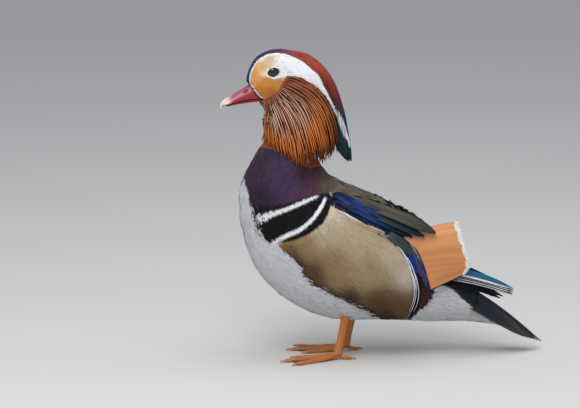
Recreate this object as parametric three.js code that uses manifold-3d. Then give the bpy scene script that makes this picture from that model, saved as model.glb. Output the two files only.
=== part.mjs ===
// A standing male mandarin duck, life size, as a still model.
// Millimetres. +X is forward, +Y the bird's left, +Z up, and the floor is at Z 0.
import * as THREE from "three";
import { mergeVertices } from "three/addons/utils/BufferGeometryUtils.js";
import Module from "manifold-3d";

const wasm = await Module();
wasm.setup();

// Driving dimensions
const GAP = 0.3; // between pieces that touch
const SMALLEST_EDGE = 0.01; // corners nearer than this become one
const FEATHER_TILT = 0.13; // how far one edge of a feather stands over the next feather's
const ROOT_SUNK = 3; // how deep a feather's root lies in what carries it
const ROOT_SHARE = 0.22; // of the feather's length, over which it comes out
const OVER_SAIL = 1.3; // the wing's feathers stop short of the raised sail's outer face by this much
const UNDER_FLANK = 5;
const PAD_SUNK = 1.5; // how deep the rim of a pad of feathers lies in the body
const EYE_RADIUS = 6;
const EYE_AT = { x: 69, y: 11.4, z: 267.5 };
const EYE_OPENING = { length: 10.4, height: 8.2, tilt: 0.22 };
const LID_RADIUS = 7;
const FOOT_SPREAD = 19; // from the middle plane to each foot
const STRIDE = 13; // how far the left foot stands ahead of the right
const LEFT_ANKLE_X = 10;
const TARSUS_TOP = { x: -9, y: -3, z: 46 }; // from the toe joint
const TOE_JOINT_Z = 5;
const ANKLE_CUT = 9; // the height at which the foot ends and the leg begins
const FOOT_TURN = 0.14; // radians, toes outward
const TOES = {
  inner: { turn: -0.36, length: 40, knuckles: 2 },
  middle: { turn: 0, length: 51, knuckles: 3 },
  outer: { turn: 0.36, length: 48, knuckles: 4 },
};
const HIND_TOE = { turn: 2.85, length: 15 };
const CLAW_LENGTH = 5.5;
const NECK_CUT = 0.56; // along the trunk's curve, where the neck leaves the torso
const HEAD_CUT = 0.885;
const TAIL_CUT = 0.12;

// The trunk's sections, from under the tail to inside the head: the centre in the middle plane, and the reach towards
// the back, towards the belly and to each side.
const TRUNK = [
  { x: -157, z: 31, up: 4, down: 4, side: 5 },
  { x: -127, z: 46, up: 16, down: 18, side: 20 },
  { x: -89, z: 64, up: 28, down: 37, side: 30 },
  { x: -47, z: 84, up: 44, down: 56, side: 40 },
  { x: -5, z: 104, up: 52, down: 73, side: 46 },
  { x: 31, z: 128, up: 47, down: 71, side: 45 },
  { x: 52, z: 155, up: 39, down: 51, side: 38 },
  { x: 54, z: 180, up: 32, down: 34, side: 30 },
  { x: 50, z: 203, up: 24, down: 23, side: 23 },
  { x: 46, z: 227, up: 19, down: 19, side: 18 },
  { x: 43, z: 248, up: 17, down: 17, side: 16 },
];

// The head's sections, from the nape to the forehead at the bill
const HEAD = [
  { x: 14, z: 256, up: 1, down: 13, side: 4 },
  { x: 19, z: 256, up: 9, down: 22, side: 11 },
  { x: 29, z: 256, up: 18, down: 29, side: 18 },
  { x: 42.5, z: 256, up: 26.5, down: 32, side: 20 },
  { x: 56.5, z: 256, up: 31, down: 30, side: 19.5 },
  { x: 70.5, z: 256, up: 30, down: 25.5, side: 17 },
  { x: 81.5, z: 256, up: 25, down: 19.5, side: 13.5 },
  { x: 88, z: 256, up: 16, down: 13.5, side: 9.5 },
  { x: 91.5, z: 256, up: 6, down: 8, side: 5 },
];

const V = (x, y, z) => new THREE.Vector3(x, y, z);

// A closed geometry as a solid that can be joined and cut, with corners nearer than a small distance made one
function solid(geometry, nearest = 1e-3) {
  const plain = geometry.clone();
  plain.deleteAttribute("normal");
  plain.deleteAttribute("uv");
  const merged = mergeVertices(plain, nearest);
  const corners = merged.index.array;
  const faces = new Map();
  for (let i = 0; i < corners.length; i += 3) {
    const face = [...corners.slice(i, i + 3)];
    const [a, b, c] = face;
    if (a === b || b === c || c === a) continue;
    // Two faces on the same three corners are a flat fin, and both go
    const key = face.toSorted((p, q) => p - q).join();
    if (faces.has(key)) faces.delete(key);
    else faces.set(key, face);
  }
  const kept = [...faces.values()].flat();
  return new wasm.Manifold(
    new wasm.Mesh({
      numProp: 3,
      vertProperties: merged.attributes.position.array,
      triVerts: new Uint32Array(kept),
    }),
  );
}

function geometryOf(body) {
  const mesh = body.getMesh();
  const geometry = new THREE.BufferGeometry();
  geometry.setAttribute("position", new THREE.BufferAttribute(mesh.vertProperties, 3));
  geometry.setIndex(new THREE.BufferAttribute(mesh.triVerts, 1));
  return geometry;
}

const join = (bodies) => bodies.reduce((whole, body) => whole.add(body));
const cut = (body, ...cutters) => cutters.reduce((rest, cutter) => rest.subtract(cutter), body);

// The largest closed surface of a body that cutting may have left in scraps
function largest(body) {
  return body.decompose().sort((a, b) => b.volume() - a.volume())[0];
}

const curveOf = (vectors) => new THREE.CatmullRomCurve3(vectors);

// A closed body swept along stations. Each has a centre, the reach up, down and to each side, and may have the
// direction that counts as up. Without one it lies in the middle plane, upwards. bend lowers the section's sides, as a feather's web does.
function sweep(stations, around, along, { grow = 0, bend = 0 } = {}) {
  const path = curveOf(stations.map((s) => V(s.x, s.y ?? 0, s.z)));
  const reach = curveOf(stations.map((s) => V(s.up, s.down ?? s.up, s.side)));
  const ups = stations[0].normal && curveOf(stations.map((s) => s.normal));
  const forward = Math.sign(stations.at(-1).x - stations[0].x);
  const geometry = new THREE.CylinderGeometry(1, 1, 1, around, along);
  const spots = geometry.attributes.position;
  for (let i = 0; i < spots.count; i++) {
    const t = THREE.MathUtils.clamp(0.5 - spots.getY(i), 0, 1);
    const tangent = path.getTangent(t);
    const side = ups ? ups.getPoint(t).cross(tangent).normalize() : V(0, forward, 0);
    const up = tangent.clone().cross(side).normalize();
    const size = reach.getPoint(t);
    const across = spots.getX(i);
    const high = spots.getZ(i);
    const tall = Math.max(high > 0 ? size.x : size.y, 0) + grow;
    const end = t === 0 ? -1 : Number(t === 1);
    const spot = path
      .getPoint(t)
      .addScaledVector(tangent, end * grow)
      .addScaledVector(side, across * (Math.max(size.z, 0) + grow))
      .addScaledVector(up, high * tall - bend * across * across);
    spots.setXYZ(i, spot.x, spot.y, spot.z);
  }
  return solid(geometry);
}

// A place on the surface of a swept body. The angle is measured from its upper side towards the left.
function skinOf(stations) {
  const path = curveOf(stations.map((s) => V(s.x, s.y ?? 0, s.z)));
  const reach = curveOf(stations.map((s) => V(s.up, s.down ?? s.up, s.side)));
  const forward = Math.sign(stations.at(-1).x - stations[0].x);
  return (t, angle, lift) => {
    const up = path.getTangent(t).cross(V(0, forward, 0)).normalize();
    const size = reach.getPoint(t);
    const tall = Math.cos(angle) > 0 ? size.x : size.y;
    const normal = V(0, Math.sin(angle) / size.z, 0)
      .addScaledVector(up, Math.cos(angle) / tall)
      .normalize();
    const point = path
      .getPoint(t)
      .add(V(0, Math.sin(angle) * size.z, 0))
      .addScaledVector(up, Math.cos(angle) * tall)
      .addScaledVector(normal, lift);
    return { point, normal };
  };
}

// How the half-width of a feather changes from root to tip, as shares of its widest
const NARROW = [0.5, 0.9, 1, 0.8, 0.12];
const ROUNDED = [0.6, 0.95, 1, 0.85, 0.35];
const LONG = [0.55, 0.9, 1.05, 0.85, 0.12];
const BLUNT = [0.6, 0.9, 1, 0.95, 0.4];

// One feather: a web with a ridge for its shaft and a flat back, along a line of places that each give a point and the way the web faces. Its tilt
// lifts one edge, so that the next feather's edge lies over or under it.
function feather(line, width, thickness, shape, tilt = 0) {
  const last = shape.length - 1;
  const stations = shape.map((share, i) => {
    const t = i / last;
    const { point, normal } = line(t);
    const ahead = line(Math.min(1, t + 0.05)).point.sub(line(Math.max(0, t - 0.05)).point);
    const across = ahead.cross(normal).normalize();
    return {
      x: point.x,
      y: point.y,
      z: point.z,
      up: thickness * 0.6 * THREE.MathUtils.lerp(1, 0.45, t),
      down: thickness * 0.8 * THREE.MathUtils.lerp(1, 0.45, t),
      side: width * share,
      normal: normal.clone().addScaledVector(across, tilt),
    };
  });
  return sweep(stations, 3, last);
}

// The height of a feather along its length: its root sunk in what carries it, the rest clear of it
const rooted = (t, lift, tipLift = lift) =>
  THREE.MathUtils.lerp(-ROOT_SUNK, THREE.MathUtils.lerp(lift, tipLift, t), Math.min(1, t / ROOT_SHARE));

// Numbers from 0 to 1 that vary the feathers, the same in every build
function randomFrom(seed) {
  let state = seed;
  return () => {
    state = (state * 1664525 + 1013904223) % 4294967296;
    return state / 4294967296;
  };
}

// The flesh, which the plumage lies on, is one body that thin cuts part into its nodes
const TRUNK_AROUND = 28;
const TRUNK_ALONG = 27;
const HEAD_AROUND = 24;
const HEAD_ALONG = 13;
const flesh = (grow) =>
  sweep(TRUNK, TRUNK_AROUND, TRUNK_ALONG, { grow }).add(sweep(HEAD, HEAD_AROUND, HEAD_ALONG, { grow }));
const body = flesh(0);
const bodyClear = flesh(GAP);

// A surface seen from the left: gives a place on it, raised by lift, and which way the surface faces there
function leftOf(made) {
  const mesh = new THREE.Mesh(geometryOf(made));
  const ray = new THREE.Raycaster();
  const step = 4;
  const steepest = 1.6;
  const reach = (x, z) => {
    ray.set(V(x, 200, z), V(0, -1, 0));
    const hit = ray.intersectObject(mesh)[0];
    return hit ? hit.point.y : 0;
  };
  const slope = (x, z, dx, dz) => (reach(x + dx, z + dz) - reach(x - dx, z - dz)) / (2 * step);
  const limited = (value) => THREE.MathUtils.clamp(value, -steepest, steepest);
  return (x, z, lift) => {
    const along = limited(slope(x, z, step, 0));
    const upwards = limited(slope(x, z, 0, step));
    const normal = V(-along, 1, -upwards).normalize();
    return { point: V(x, reach(x, z), z).addScaledVector(normal, lift), normal };
  };
}
const onBody = leftOf(body);

// A pad lying on the left of the body, its rim sunk a little. Its outline in the side view runs from the rear over the top to the front.
function pad(outline, thickness, around, rings, grow = 0) {
  const rim = new THREE.CatmullRomCurve3(outline.map(([x, z]) => V(x, 0, z)), true);
  const middle = outline
    .reduce((sum, [x, z]) => sum.add(V(x, 0, z)), V(0, 0, 0))
    .divideScalar(outline.length);
  const geometry = new THREE.SphereGeometry(1, around, rings);
  const spots = geometry.attributes.position;
  for (let i = 0; i < spots.count; i++) {
    const [x, y, z] = [spots.getX(i), spots.getY(i), spots.getZ(i)];
    const turn = (Math.atan2(z, -x) / (2 * Math.PI) + 1) % 1;
    const out = Math.hypot(x, z);
    const edge = rim.getPoint(turn).sub(middle);
    edge.setLength(edge.length() + grow);
    const flat = edge.multiplyScalar(Math.pow(out, 0.9)).add(middle);
    const lift = Math.sign(y) * Math.pow(Math.abs(y), 0.45) * (thickness + grow);
    const { point } = onBody(flat.x, flat.z, lift - PAD_SUNK);
    spots.setXYZ(i, point.x, point.y, point.z);
  }
  return solid(geometry);
}

// A half of space on one side of the plane across the trunk's curve at t
const trunkCurve = curveOf(TRUNK.map((s) => V(s.x, 0, s.z)));
function halfSpace(t, towardsHead) {
  const size = 500;
  const slab = new THREE.BoxGeometry(size, size, size);
  const tangent = trunkCurve.getTangent(t).multiplyScalar(towardsHead ? 1 : -1);
  slab.translate(0, 0, size / 2 + GAP / 2);
  slab.applyQuaternion(new THREE.Quaternion().setFromUnitVectors(V(0, 0, 1), tangent));
  const at = trunkCurve.getPoint(t);
  slab.translate(at.x, 0, at.z);
  return solid(slab);
}

const mirrored = (geometry) => geometry.clone().scale(1, -1, 1);
function mirrorSolid(body) {
  const turned = mirrored(geometryOf(body));
  const corners = turned.index.array;
  for (let i = 0; i < corners.length; i += 3) {
    [corners[i + 1], corners[i + 2]] = [corners[i + 2], corners[i + 1]];
  }
  return solid(turned);
}

// Eyes and lids
function eyeBall(grow) {
  const ball = new THREE.SphereGeometry(EYE_RADIUS + grow, 14, 9);
  return solid(ball.translate(EYE_AT.x, EYE_AT.y, EYE_AT.z));
}
function lids() {
  const dome = solid(new THREE.SphereGeometry(LID_RADIUS, 11, 7).translate(EYE_AT.x, EYE_AT.y, EYE_AT.z));
  return dome;
}
function eyeOpening() {
  const rim = new THREE.CylinderGeometry(1, 1, 40, 12);
  rim.scale(EYE_OPENING.length / 2, 1, EYE_OPENING.height / 2);
  rim.rotateY(EYE_OPENING.tilt);
  return solid(rim.translate(EYE_AT.x, EYE_AT.y + 20, EYE_AT.z));
}

// The bill: its tomium runs from the gape to the nail
const BILL = [
  { x: 78, z: 243.5, up: 19, down: 0.8, side: 7.6 },
  { x: 83, z: 242.6, up: 15, down: 0.8, side: 7.4 },
  { x: 91, z: 241.5, up: 11.5, down: 0.8, side: 6.9 },
  { x: 99, z: 240, up: 8.2, down: 0.8, side: 6.3 },
  { x: 107, z: 238, up: 5, down: 0.8, side: 5.6 },
  { x: 112, z: 236.6, up: 3.2, down: 0.7, side: 4.6 },
  { x: 114.5, z: 235.8, up: 1.5, down: 0.5, side: 2.5 },
];
const LOWER_BILL = [
  { x: 77, z: 242, up: 0.6, down: 2.6, side: 6.4 },
  { x: 84, z: 241, up: 0.6, down: 2.7, side: 6.2 },
  { x: 92, z: 239.9, up: 0.6, down: 2.4, side: 5.8 },
  { x: 100, z: 238.4, up: 0.6, down: 2, side: 5.2 },
  { x: 107, z: 236.6, up: 0.6, down: 1.5, side: 4.4 },
  { x: 110.5, z: 235.5, up: 0.5, down: 1, side: 3 },
];
const NAIL = [
  { x: 108, z: 242.4, up: 1, down: 2, side: 2.6 },
  { x: 112, z: 240, up: 1.3, down: 2, side: 3.5 },
  { x: 114.8, z: 236.5, up: 1.3, down: 1.7, side: 3.3 },
  { x: 115.4, z: 232.6, up: 0.8, down: 1, side: 2 },
];
const NOSTRIL = { x: 93.5, z: 249, length: 5, height: 1.8, tilt: 0.62 };

function nostrils() {
  const slot = new THREE.SphereGeometry(1, 8, 6);
  slot.scale(NOSTRIL.length / 2, 2.2, NOSTRIL.height / 2);
  slot.rotateY(NOSTRIL.tilt);
  const left = solid(slot.clone().translate(NOSTRIL.x, 6, NOSTRIL.z));
  const right = solid(slot.clone().translate(NOSTRIL.x, -6, NOSTRIL.z));
  return left.add(right);
}

// Plumage outlines in the side view, left side, from the rear over the top to the front
const FLANK_OUTLINE = [
  [-61, 72],
  [-57, 95],
  [-45, 114],
  [-29, 128],
  [0, 140],
  [24, 147],
  [46, 136],
  [60, 118],
  [44, 94],
  [16, 66],
  [-16, 44],
  [-50, 36],
];
const WING_OUTLINE = [
  [-77, 100],
  [-72, 116],
  [-52, 133],
  [-28, 147],
  [2, 154],
  [24, 153],
  [26, 146],
  [2, 136],
  [-28, 118],
  [-50, 96],
  [-66, 66],
  [-75, 76],
];
// The cape of hackles round the neck, from the cheeks down: up is its reach to the rear and down its reach to the front
const CAPE = [
  { x: 52, z: 264, up: 12, down: 9, side: 13 },
  { x: 48, z: 251, up: 27, down: 22, side: 20 },
  { x: 43, z: 236, up: 33, down: 33, side: 24 },
  { x: 42.5, z: 220, up: 33.5, down: 35, side: 27 },
  { x: 43, z: 205, up: 34, down: 36, side: 30 },
  { x: 43, z: 194, up: 31, down: 32, side: 32.5 },
  { x: 39, z: 184, up: 20, down: 14, side: 32.5 },
];

const flankPad = (grow) => pad(FLANK_OUTLINE, 8.5, 24, 10, grow);
const wingPad = (grow) => pad(WING_OUTLINE, 7.5, 24, 8, grow);

// Feathers that lie on the wing and flank, drawn in the side view: each group runs from one line of roots and tips to
// another, and none comes nearer to the middle plane than its nearest
const dressed = leftOf(join([body, flankPad(0), wingPad(0)]));
const WING_GROUPS = [
  {
    count: 4, // greater coverts and the blue mirror, in the strip before the raised sail
    roots: [[-26, 128], [-48, 92]],
    tips: [[-55, 105], [-74, 68]],
    width: 5.6, thickness: 1.4, shape: ROUNDED, lift: 1.9, bow: 1, nearest: 20,
  },
  {
    count: 3, // the grey-brown feathers along the edge of the back
    roots: [[-4, 152], [-16, 145]],
    tips: [[-70, 115], [-47, 121]],
    width: 6.5, thickness: 1.4, shape: LONG, lift: 1.6, bow: 1.4, nearest: 15,
  },
  {
    count: 4, // the blue scapulars, the longest reaching the top of the sail
    roots: [[14, 157], [20, 145]],
    tips: [[-78, 117.5], [-25, 121]],
    width: 6.5, thickness: 1.5, shape: LONG, lift: 3.2, bow: 4, nearest: 24,
  },
];

function lyingGroup({ count, roots, tips, width, thickness, shape, lift, bow, nearest }, surface) {
  const made = [];
  const mixed = (ends, share) => [0, 1].map((k) => THREE.MathUtils.lerp(ends[0][k], ends[1][k], share));
  for (let i = 0; i < count; i++) {
    const share = i / (count - 1);
    const root = mixed(roots, share);
    const tip = mixed(tips, share);
    const line = (t) => {
      const x = THREE.MathUtils.lerp(root[0], tip[0], t);
      const z = THREE.MathUtils.lerp(root[1], tip[1], t) + bow * Math.sin(Math.PI * t);
      const place = surface(x, z, rooted(t, lift));
      place.point.y = Math.max(place.point.y, nearest);
      return place;
    };
    made.push(feather(line, width, thickness, shape, FEATHER_TILT));
  }
  return made;
}

const wingFeathers = () => WING_GROUPS.flatMap((group) => lyingGroup(group, dressed));

// The flight feathers of the folded wing, each under the one above and ending further forward
const FLIGHT = { count: 5, root: V(-74, 30, 86), tip: V(-155, 13, 60), rootStep: V(2, 1.2, -2.6), tipStep: V(6.5, 1.6, -0.4) };
function flightFeathers() {
  const made = [];
  for (let i = 0; i < FLIGHT.count; i++) {
    const root = FLIGHT.root.clone().addScaledVector(FLIGHT.rootStep, i);
    const tip = FLIGHT.tip.clone().addScaledVector(FLIGHT.tipStep, i);
    const line = (t) => {
      const point = root.clone().lerp(tip, t);
      point.y += 2.5 * Math.sin(Math.PI * t);
      point.z += 1.5 * Math.sin(Math.PI * t);
      return { point, normal: V(0, 1, THREE.MathUtils.lerp(0.5, 0.9, t)) };
    };
    made.push(feather(line, 6.5, 1.6, BLUNT));
  }
  return join(made);
}

// The tail: a core under a roof of feathers, the middle pair highest and longest
const TAIL_CORE = [
  { x: -106, z: 58, up: 5, down: 12, side: 18 },
  { x: -125, z: 49, up: 6, down: 8, side: 15 },
  { x: -148, z: 34, up: 3, down: 4, side: 9 },
  { x: -166, z: 22, up: 1, down: 1.5, side: 3 },
];
const TAIL = { pairs: 5, width: 5.4, thickness: 1.5 };
const UNDERTAIL = { count: 3, spacing: 10, width: 8, thickness: 2.4 };
function tailFeathers() {
  const made = [];
  for (let i = 0; i < TAIL.pairs; i++) {
    const tilt = (i / (TAIL.pairs - 1)) * 0.55;
    for (const side of [1, -1]) {
      const root = V(-108, side * (3 + 3.1 * i), 63 - 4.5 * i);
      const tip = V(-186 + 4.2 * i, side * (1.3 + 2.3 * i), 8.5 + 1.6 * i);
      const normal = V(-0.5, side * Math.sin(tilt + 0.15), Math.cos(tilt)).normalize();
      const line = (t) => {
        const point = root.clone().lerp(tip, t);
        return { point: point.addScaledVector(normal, 5 * Math.sin(Math.PI * t)), normal };
      };
      made.push(feather(line, TAIL.width, TAIL.thickness, BLUNT));
    }
  }
  return made;
}
function undertailFeathers() {
  const made = [];
  for (let i = 0; i < UNDERTAIL.count; i++) {
    const out = i - (UNDERTAIL.count - 1) / 2;
    const root = V(-112, out * UNDERTAIL.spacing, 36 + Math.abs(out) * 3);
    const tip = V(-158 + Math.abs(out) * 5, out * UNDERTAIL.spacing * 0.55, 22.5 + Math.abs(out) * 2.5);
    const normal = V(-0.2, out * 0.45, -1).normalize();
    made.push(feather((t) => ({ point: root.clone().lerp(tip, t), normal }), UNDERTAIL.width, UNDERTAIL.thickness, ROUNDED));
  }
  return made;
}

const CREST = [
  { x: 76, z: 277, up: 3, down: 6, side: 5 },
  { x: 56, z: 281, up: 6, down: 10, side: 8 },
  { x: 36, z: 273, up: 8, down: 12, side: 9 },
  { x: 20, z: 256, up: 8, down: 12, side: 9 },
  { x: 9, z: 230, up: 7, down: 10, side: 8 },
  { x: 2, z: 205, up: 6, down: 7, side: 6 },
  { x: -3, z: 186, up: 1.5, down: 1.5, side: 2 },
];

// The crest lies on a slimmer core in two lengths, the long feathers ending one after another
const CREST_SLIM = 0.78;
const CREST_TIERS = [
  { from: 0.4, to: 1, angles: [0, 0.7, -0.7, 1.4, -1.4], width: 3.2, lift: -0.3 },
  { from: 0.12, to: 0.62, angles: [0.35, -0.35, 1.1, -1.1], width: 3.4, lift: 1.2 },
];
const crestSkin = skinOf(CREST);
function crestFeathers() {
  const made = [];
  for (const { from, to, angles, width, lift } of CREST_TIERS) {
    for (const angle of angles) {
      const end = to - 0.045 * Math.abs(angle);
      const line = (t) => crestSkin(THREE.MathUtils.lerp(from, end, t), angle, rooted(t, lift));
      made.push(feather(line, width, 1.7, LONG));
    }
  }
  return made;
}

// The hackles of the left ruff fan out from the cheek over a slimmer core: a long tier, and a shorter one on top
const RUFF_SLIM = 0.92;
const RUFF_TIERS = [
  { count: 11, root: 0.2, tip: 1, width: 4.6, lift: -0.6 },
  { count: 6, root: 0.12, tip: 0.66, width: 4.6, lift: 1.5 },
];
const HACKLE_TIPS = curveOf([V(2.8, 0.76, 0), V(2.5, 0.86, 0), V(1.9, 0.98, 0), V(1.2, 1, 0), V(0.6, 0.86, 0), V(0.15, 0.62, 0)]);
const capeSkin = skinOf(CAPE);
function hackles() {
  const random = randomFrom(7);
  const made = [];
  for (const { count, root, tip, width, lift } of RUFF_TIERS) {
    for (let i = 0; i < count; i++) {
      const share = (i + 0.5) / count;
      const spot = HACKLE_TIPS.getPoint(share);
      const endAngle = spot.x;
      const endAt = THREE.MathUtils.clamp(spot.y * tip * (0.96 + 0.06 * random()), 0, 1);
      const rootAngle = THREE.MathUtils.lerp(2.35, 0.75, share);
      const line = (t) => {
        const swing = THREE.MathUtils.lerp(rootAngle, endAngle, Math.pow(t, 1.25));
        return capeSkin(THREE.MathUtils.lerp(root, endAt, t), swing, rooted(t, lift, lift + 0.5));
      };
      made.push(feather(line, width, 1.8, NARROW, FEATHER_TILT));
    }
  }
  return made;
}

const slimmed = (stations, share, kept) =>
  stations
    .slice(0, kept)
    .map((s) => ({ ...s, up: s.up * share, down: s.down * share, side: s.side * share }));

// The raised cinnamon feather of each wing: a thin curved web between its shaft in front and its pale edge behind
const SAIL_SHAFT = [V(-47, 42, 117), V(-57, 43, 107), V(-65, 42, 91), V(-73, 39, 66)];
const SAIL_EDGE = [V(-101, 33, 129), V(-105, 38, 111), V(-111, 38, 91), V(-107, 36, 81)];
const SAIL_DROP = 0.2; // radians, how much lower the right one is held
const SAIL_THICKNESS = 0.9;
const SAIL_BULGE = 3;
function sail(grow = 0) {
  const steps = 7;
  const shaft = curveOf(SAIL_SHAFT);
  const edge = curveOf(SAIL_EDGE);
  const front = new THREE.PlaneGeometry(1, 1, steps, steps);
  const spots = front.attributes.position;
  const inner = [];
  for (let i = 0; i < spots.count; i++) {
    const across = spots.getX(i) + 0.5;
    const down = 0.5 - spots.getY(i);
    const root = shaft.getPoint(down);
    const outward = edge.getPoint(down).sub(root);
    const spot = root.clone().addScaledVector(outward, across);
    spot.addScaledVector(outward.normalize(), (2 * across - 1) * grow);
    spot.addScaledVector(shaft.getTangent(down), (2 * down - 1) * grow);
    spot.y += SAIL_BULGE * Math.sin(Math.PI * across) * Math.sin(Math.PI * down);
    spot.z += 3 * Math.sin(Math.PI * across) * (1 - down);
    inner.push(spot);
  }
  return thinSheet(front, inner, SAIL_THICKNESS + 2 * grow);
}

// The same feather held lower, turned about the top of its shaft
function dropped(made) {
  const at = SAIL_SHAFT[0];
  const turned = geometryOf(made).translate(-at.x, 0, -at.z).rotateY(-SAIL_DROP).translate(at.x, 0, at.z);
  return solid(turned);
}

// A grid of points as a sheet of one thickness along Y, with both faces split into triangles alike
function thinSheet(grid, points, thickness) {
  const count = points.length;
  const across = grid.parameters.widthSegments + 1;
  const down = grid.parameters.heightSegments + 1;
  const places = [];
  for (const shift of [thickness / 2, -thickness / 2]) {
    for (const p of points) places.push(p.x, p.y + shift, p.z);
  }
  const faces = [];
  const corners = grid.index.array;
  for (let i = 0; i < corners.length; i += 3) {
    const [a, b, c] = corners.slice(i, i + 3);
    faces.push(a, b, c, c + count, b + count, a + count);
  }
  const rim = [];
  for (let i = 0; i < across - 1; i++) rim.push(i);
  for (let j = 0; j < down - 1; j++) rim.push(j * across + across - 1);
  for (let i = across - 1; i > 0; i--) rim.push((down - 1) * across + i);
  for (let j = down - 1; j > 0; j--) rim.push(j * across);
  rim.forEach((a, i) => {
    const b = rim[(i + 1) % rim.length];
    faces.push(a, b, b + count, a, b + count, a + count);
  });
  const geometry = new THREE.BufferGeometry();
  geometry.setAttribute("position", new THREE.Float32BufferAttribute(places, 3));
  geometry.setIndex(faces);
  const made = solid(geometry);
  if (made.volume() > 0) return made;
  geometry.setIndex(faces.reverse());
  return solid(geometry);
}

// A leg, in the left side's place, with its toe joint above the origin
const TARSUS = [
  { x: TARSUS_TOP.x - 1.6, y: TARSUS_TOP.y, z: TARSUS_TOP.z + 10, up: 4.2, down: 4.2, side: 4 },
  { x: TARSUS_TOP.x, y: TARSUS_TOP.y, z: TARSUS_TOP.z, up: 4, down: 4, side: 3.6 },
  { x: -6, y: -2, z: 32, up: 3.6, down: 3.6, side: 2.9 },
  { x: -3, y: -1, z: 18, up: 3.6, down: 3.6, side: 2.9 },
  { x: -0.5, y: 0, z: 6, up: 4.2, down: 4.2, side: 3.7 },
];
function tarsus() {
  const shank = sweep(TARSUS.map((s) => ({ ...s, normal: V(1, 0, 0.2) })), 10, 8);
  const above = new THREE.BoxGeometry(80, 80, 80).translate(0, 0, 40 + ANKLE_CUT + GAP / 2);
  return shank.intersect(solid(above));
}

function toe({ turn, length, knuckles = 1 }, base = 3.1, tip = 2, grow = 0) {
  const stations = [];
  const steps = knuckles * 2;
  for (let i = 0; i <= steps; i++) {
    const t = i / steps;
    const swell = i % 2 === 1 ? 1.14 : 0.92;
    const radius = THREE.MathUtils.lerp(base, tip, t) * swell;
    const drop = Math.pow(1 - t, 3);
    stations.push({
      x: Math.cos(turn) * length * t,
      y: Math.sin(turn) * length * t,
      z: THREE.MathUtils.lerp(tip * 0.9, TOE_JOINT_Z, drop),
      up: radius,
      side: radius,
      normal: V(0, 0, 1),
    });
  }
  return sweep(stations, 5, steps, { grow });
}

function claw({ turn, length }, root) {
  const at = (reach, z, size) => ({
    x: Math.cos(turn) * (length + reach),
    y: Math.sin(turn) * (length + reach),
    z,
    up: size,
    side: size * 0.8,
    normal: V(0, 0, 1),
  });
  return sweep([at(root, 2.2, 1.3), at(1, 2.4, 1.2), at(3.4, 1.8, 0.8), at(CLAW_LENGTH - 1, 0.5, 0.2)], 4, 3);
}

// The web between two toes, with a hollow front edge
function web(a, b) {
  const steps = 3;
  const reach = 0.9;
  const grid = new THREE.PlaneGeometry(1, 1, steps, steps);
  const spots = grid.attributes.position;
  const points = [];
  for (let i = 0; i < spots.count; i++) {
    const across = spots.getX(i) + 0.5;
    const out = 0.5 - spots.getY(i);
    const turn = THREE.MathUtils.lerp(a.turn, b.turn, across);
    const length = THREE.MathUtils.lerp(a.length, b.length, across) * reach;
    const hollow = 1 - 0.14 * Math.sin(Math.PI * across);
    const far = THREE.MathUtils.lerp(3, length * hollow, out);
    const rise = THREE.MathUtils.lerp(TOE_JOINT_Z - 1.5, 0.9, Math.min(1, out * 3));
    points.push(V(Math.cos(turn) * far, rise, Math.sin(turn) * far));
  }
  const sheet = thinSheet(grid, points, 1);
  const upright = geometryOf(sheet).rotateX(Math.PI / 2).scale(1, -1, 1);
  return turnedOut(upright);
}

function turnedOut(geometry) {
  const made = solid(geometry);
  if (made.volume() > 0) return made;
  const corners = geometry.index.array;
  for (let i = 0; i < corners.length; i += 3) {
    [corners[i + 1], corners[i + 2]] = [corners[i + 2], corners[i + 1]];
  }
  return solid(geometry);
}

function foot() {
  const toes = Object.values(TOES).map((t) => toe(t));
  const joint = solid(new THREE.SphereGeometry(4.4, 7, 5).translate(0, 0, TOE_JOINT_Z));
  const ankle = sweep(TARSUS.slice(3).map((s) => ({ ...s, normal: V(1, 0, 0.2) })), 6, 2);
  const hind = toe(HIND_TOE, 2.4, 1.7);
  const webs = [web(TOES.inner, TOES.middle), web(TOES.middle, TOES.outer)];
  const claws = [...Object.values(TOES), HIND_TOE].map((t) => claw(t, -3));
  const height = ANKLE_CUT - GAP / 2;
  const layer = solid(new THREE.BoxGeometry(200, 200, height).translate(0, 0, height / 2));
  return join([...toes, joint, ankle, hind, ...webs, ...claws]).intersect(layer);
}

// Colours
const COLOURS = {
  head: 0xd9a066,
  neck: 0x5a2f4a,
  torso: 0xd8d4cc,
  tail: 0x3a4048,
  eye: 0x0a0a0c,
  bill: 0xb03a55,
  nail: 0xe6d6c8,
  crest: 0x7a2f22,
  ruff: 0xb5622c,
  flank: 0xc3a272,
  wing: 0x24365c,
  sail: 0xd98a4e,
  leg: 0xc9822f,
};

const duck = new THREE.Group();
function put(name, made, colour, roughness = 0.7, place = null) {
  const material = new THREE.MeshStandardMaterial({ color: colour, roughness, metalness: 0 });
  const clean = solid(geometryOf(largest(made)), SMALLEST_EDGE);
  const mesh = new THREE.Mesh(geometryOf(clean), material);
  mesh.name = name;
  (place ?? duck).add(mesh);
  return mesh;
}
function putPair(name, left, colour, roughness) {
  put(`${name}_left`, left, colour, roughness);
  put(`${name}_right`, mirrorSolid(left), colour, roughness);
}

const bothEyes = eyeBall(GAP).add(mirrorSolid(eyeBall(GAP)));
const openings = eyeOpening().add(mirrorSolid(eyeOpening()));
const bothLids = lids().add(mirrorSolid(lids()));
const headClear = bodyClear;

const upperBill = sweep(BILL, 12, 9);
const nail = sweep(NAIL, 10, 6);
const nailClear = sweep(NAIL, 10, 6, { grow: GAP });
const lowerBill = sweep(LOWER_BILL, 10, 6);
const upperClear = sweep(BILL, 12, 9, { grow: GAP });

put("bill_upper", cut(upperBill, headClear, nailClear, nostrils()), COLOURS.bill, 0.4);
put("bill_lower", cut(lowerBill, headClear, upperClear, nailClear), COLOURS.bill, 0.4);
put("bill_nail", nail, COLOURS.nail, 0.4);

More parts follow.
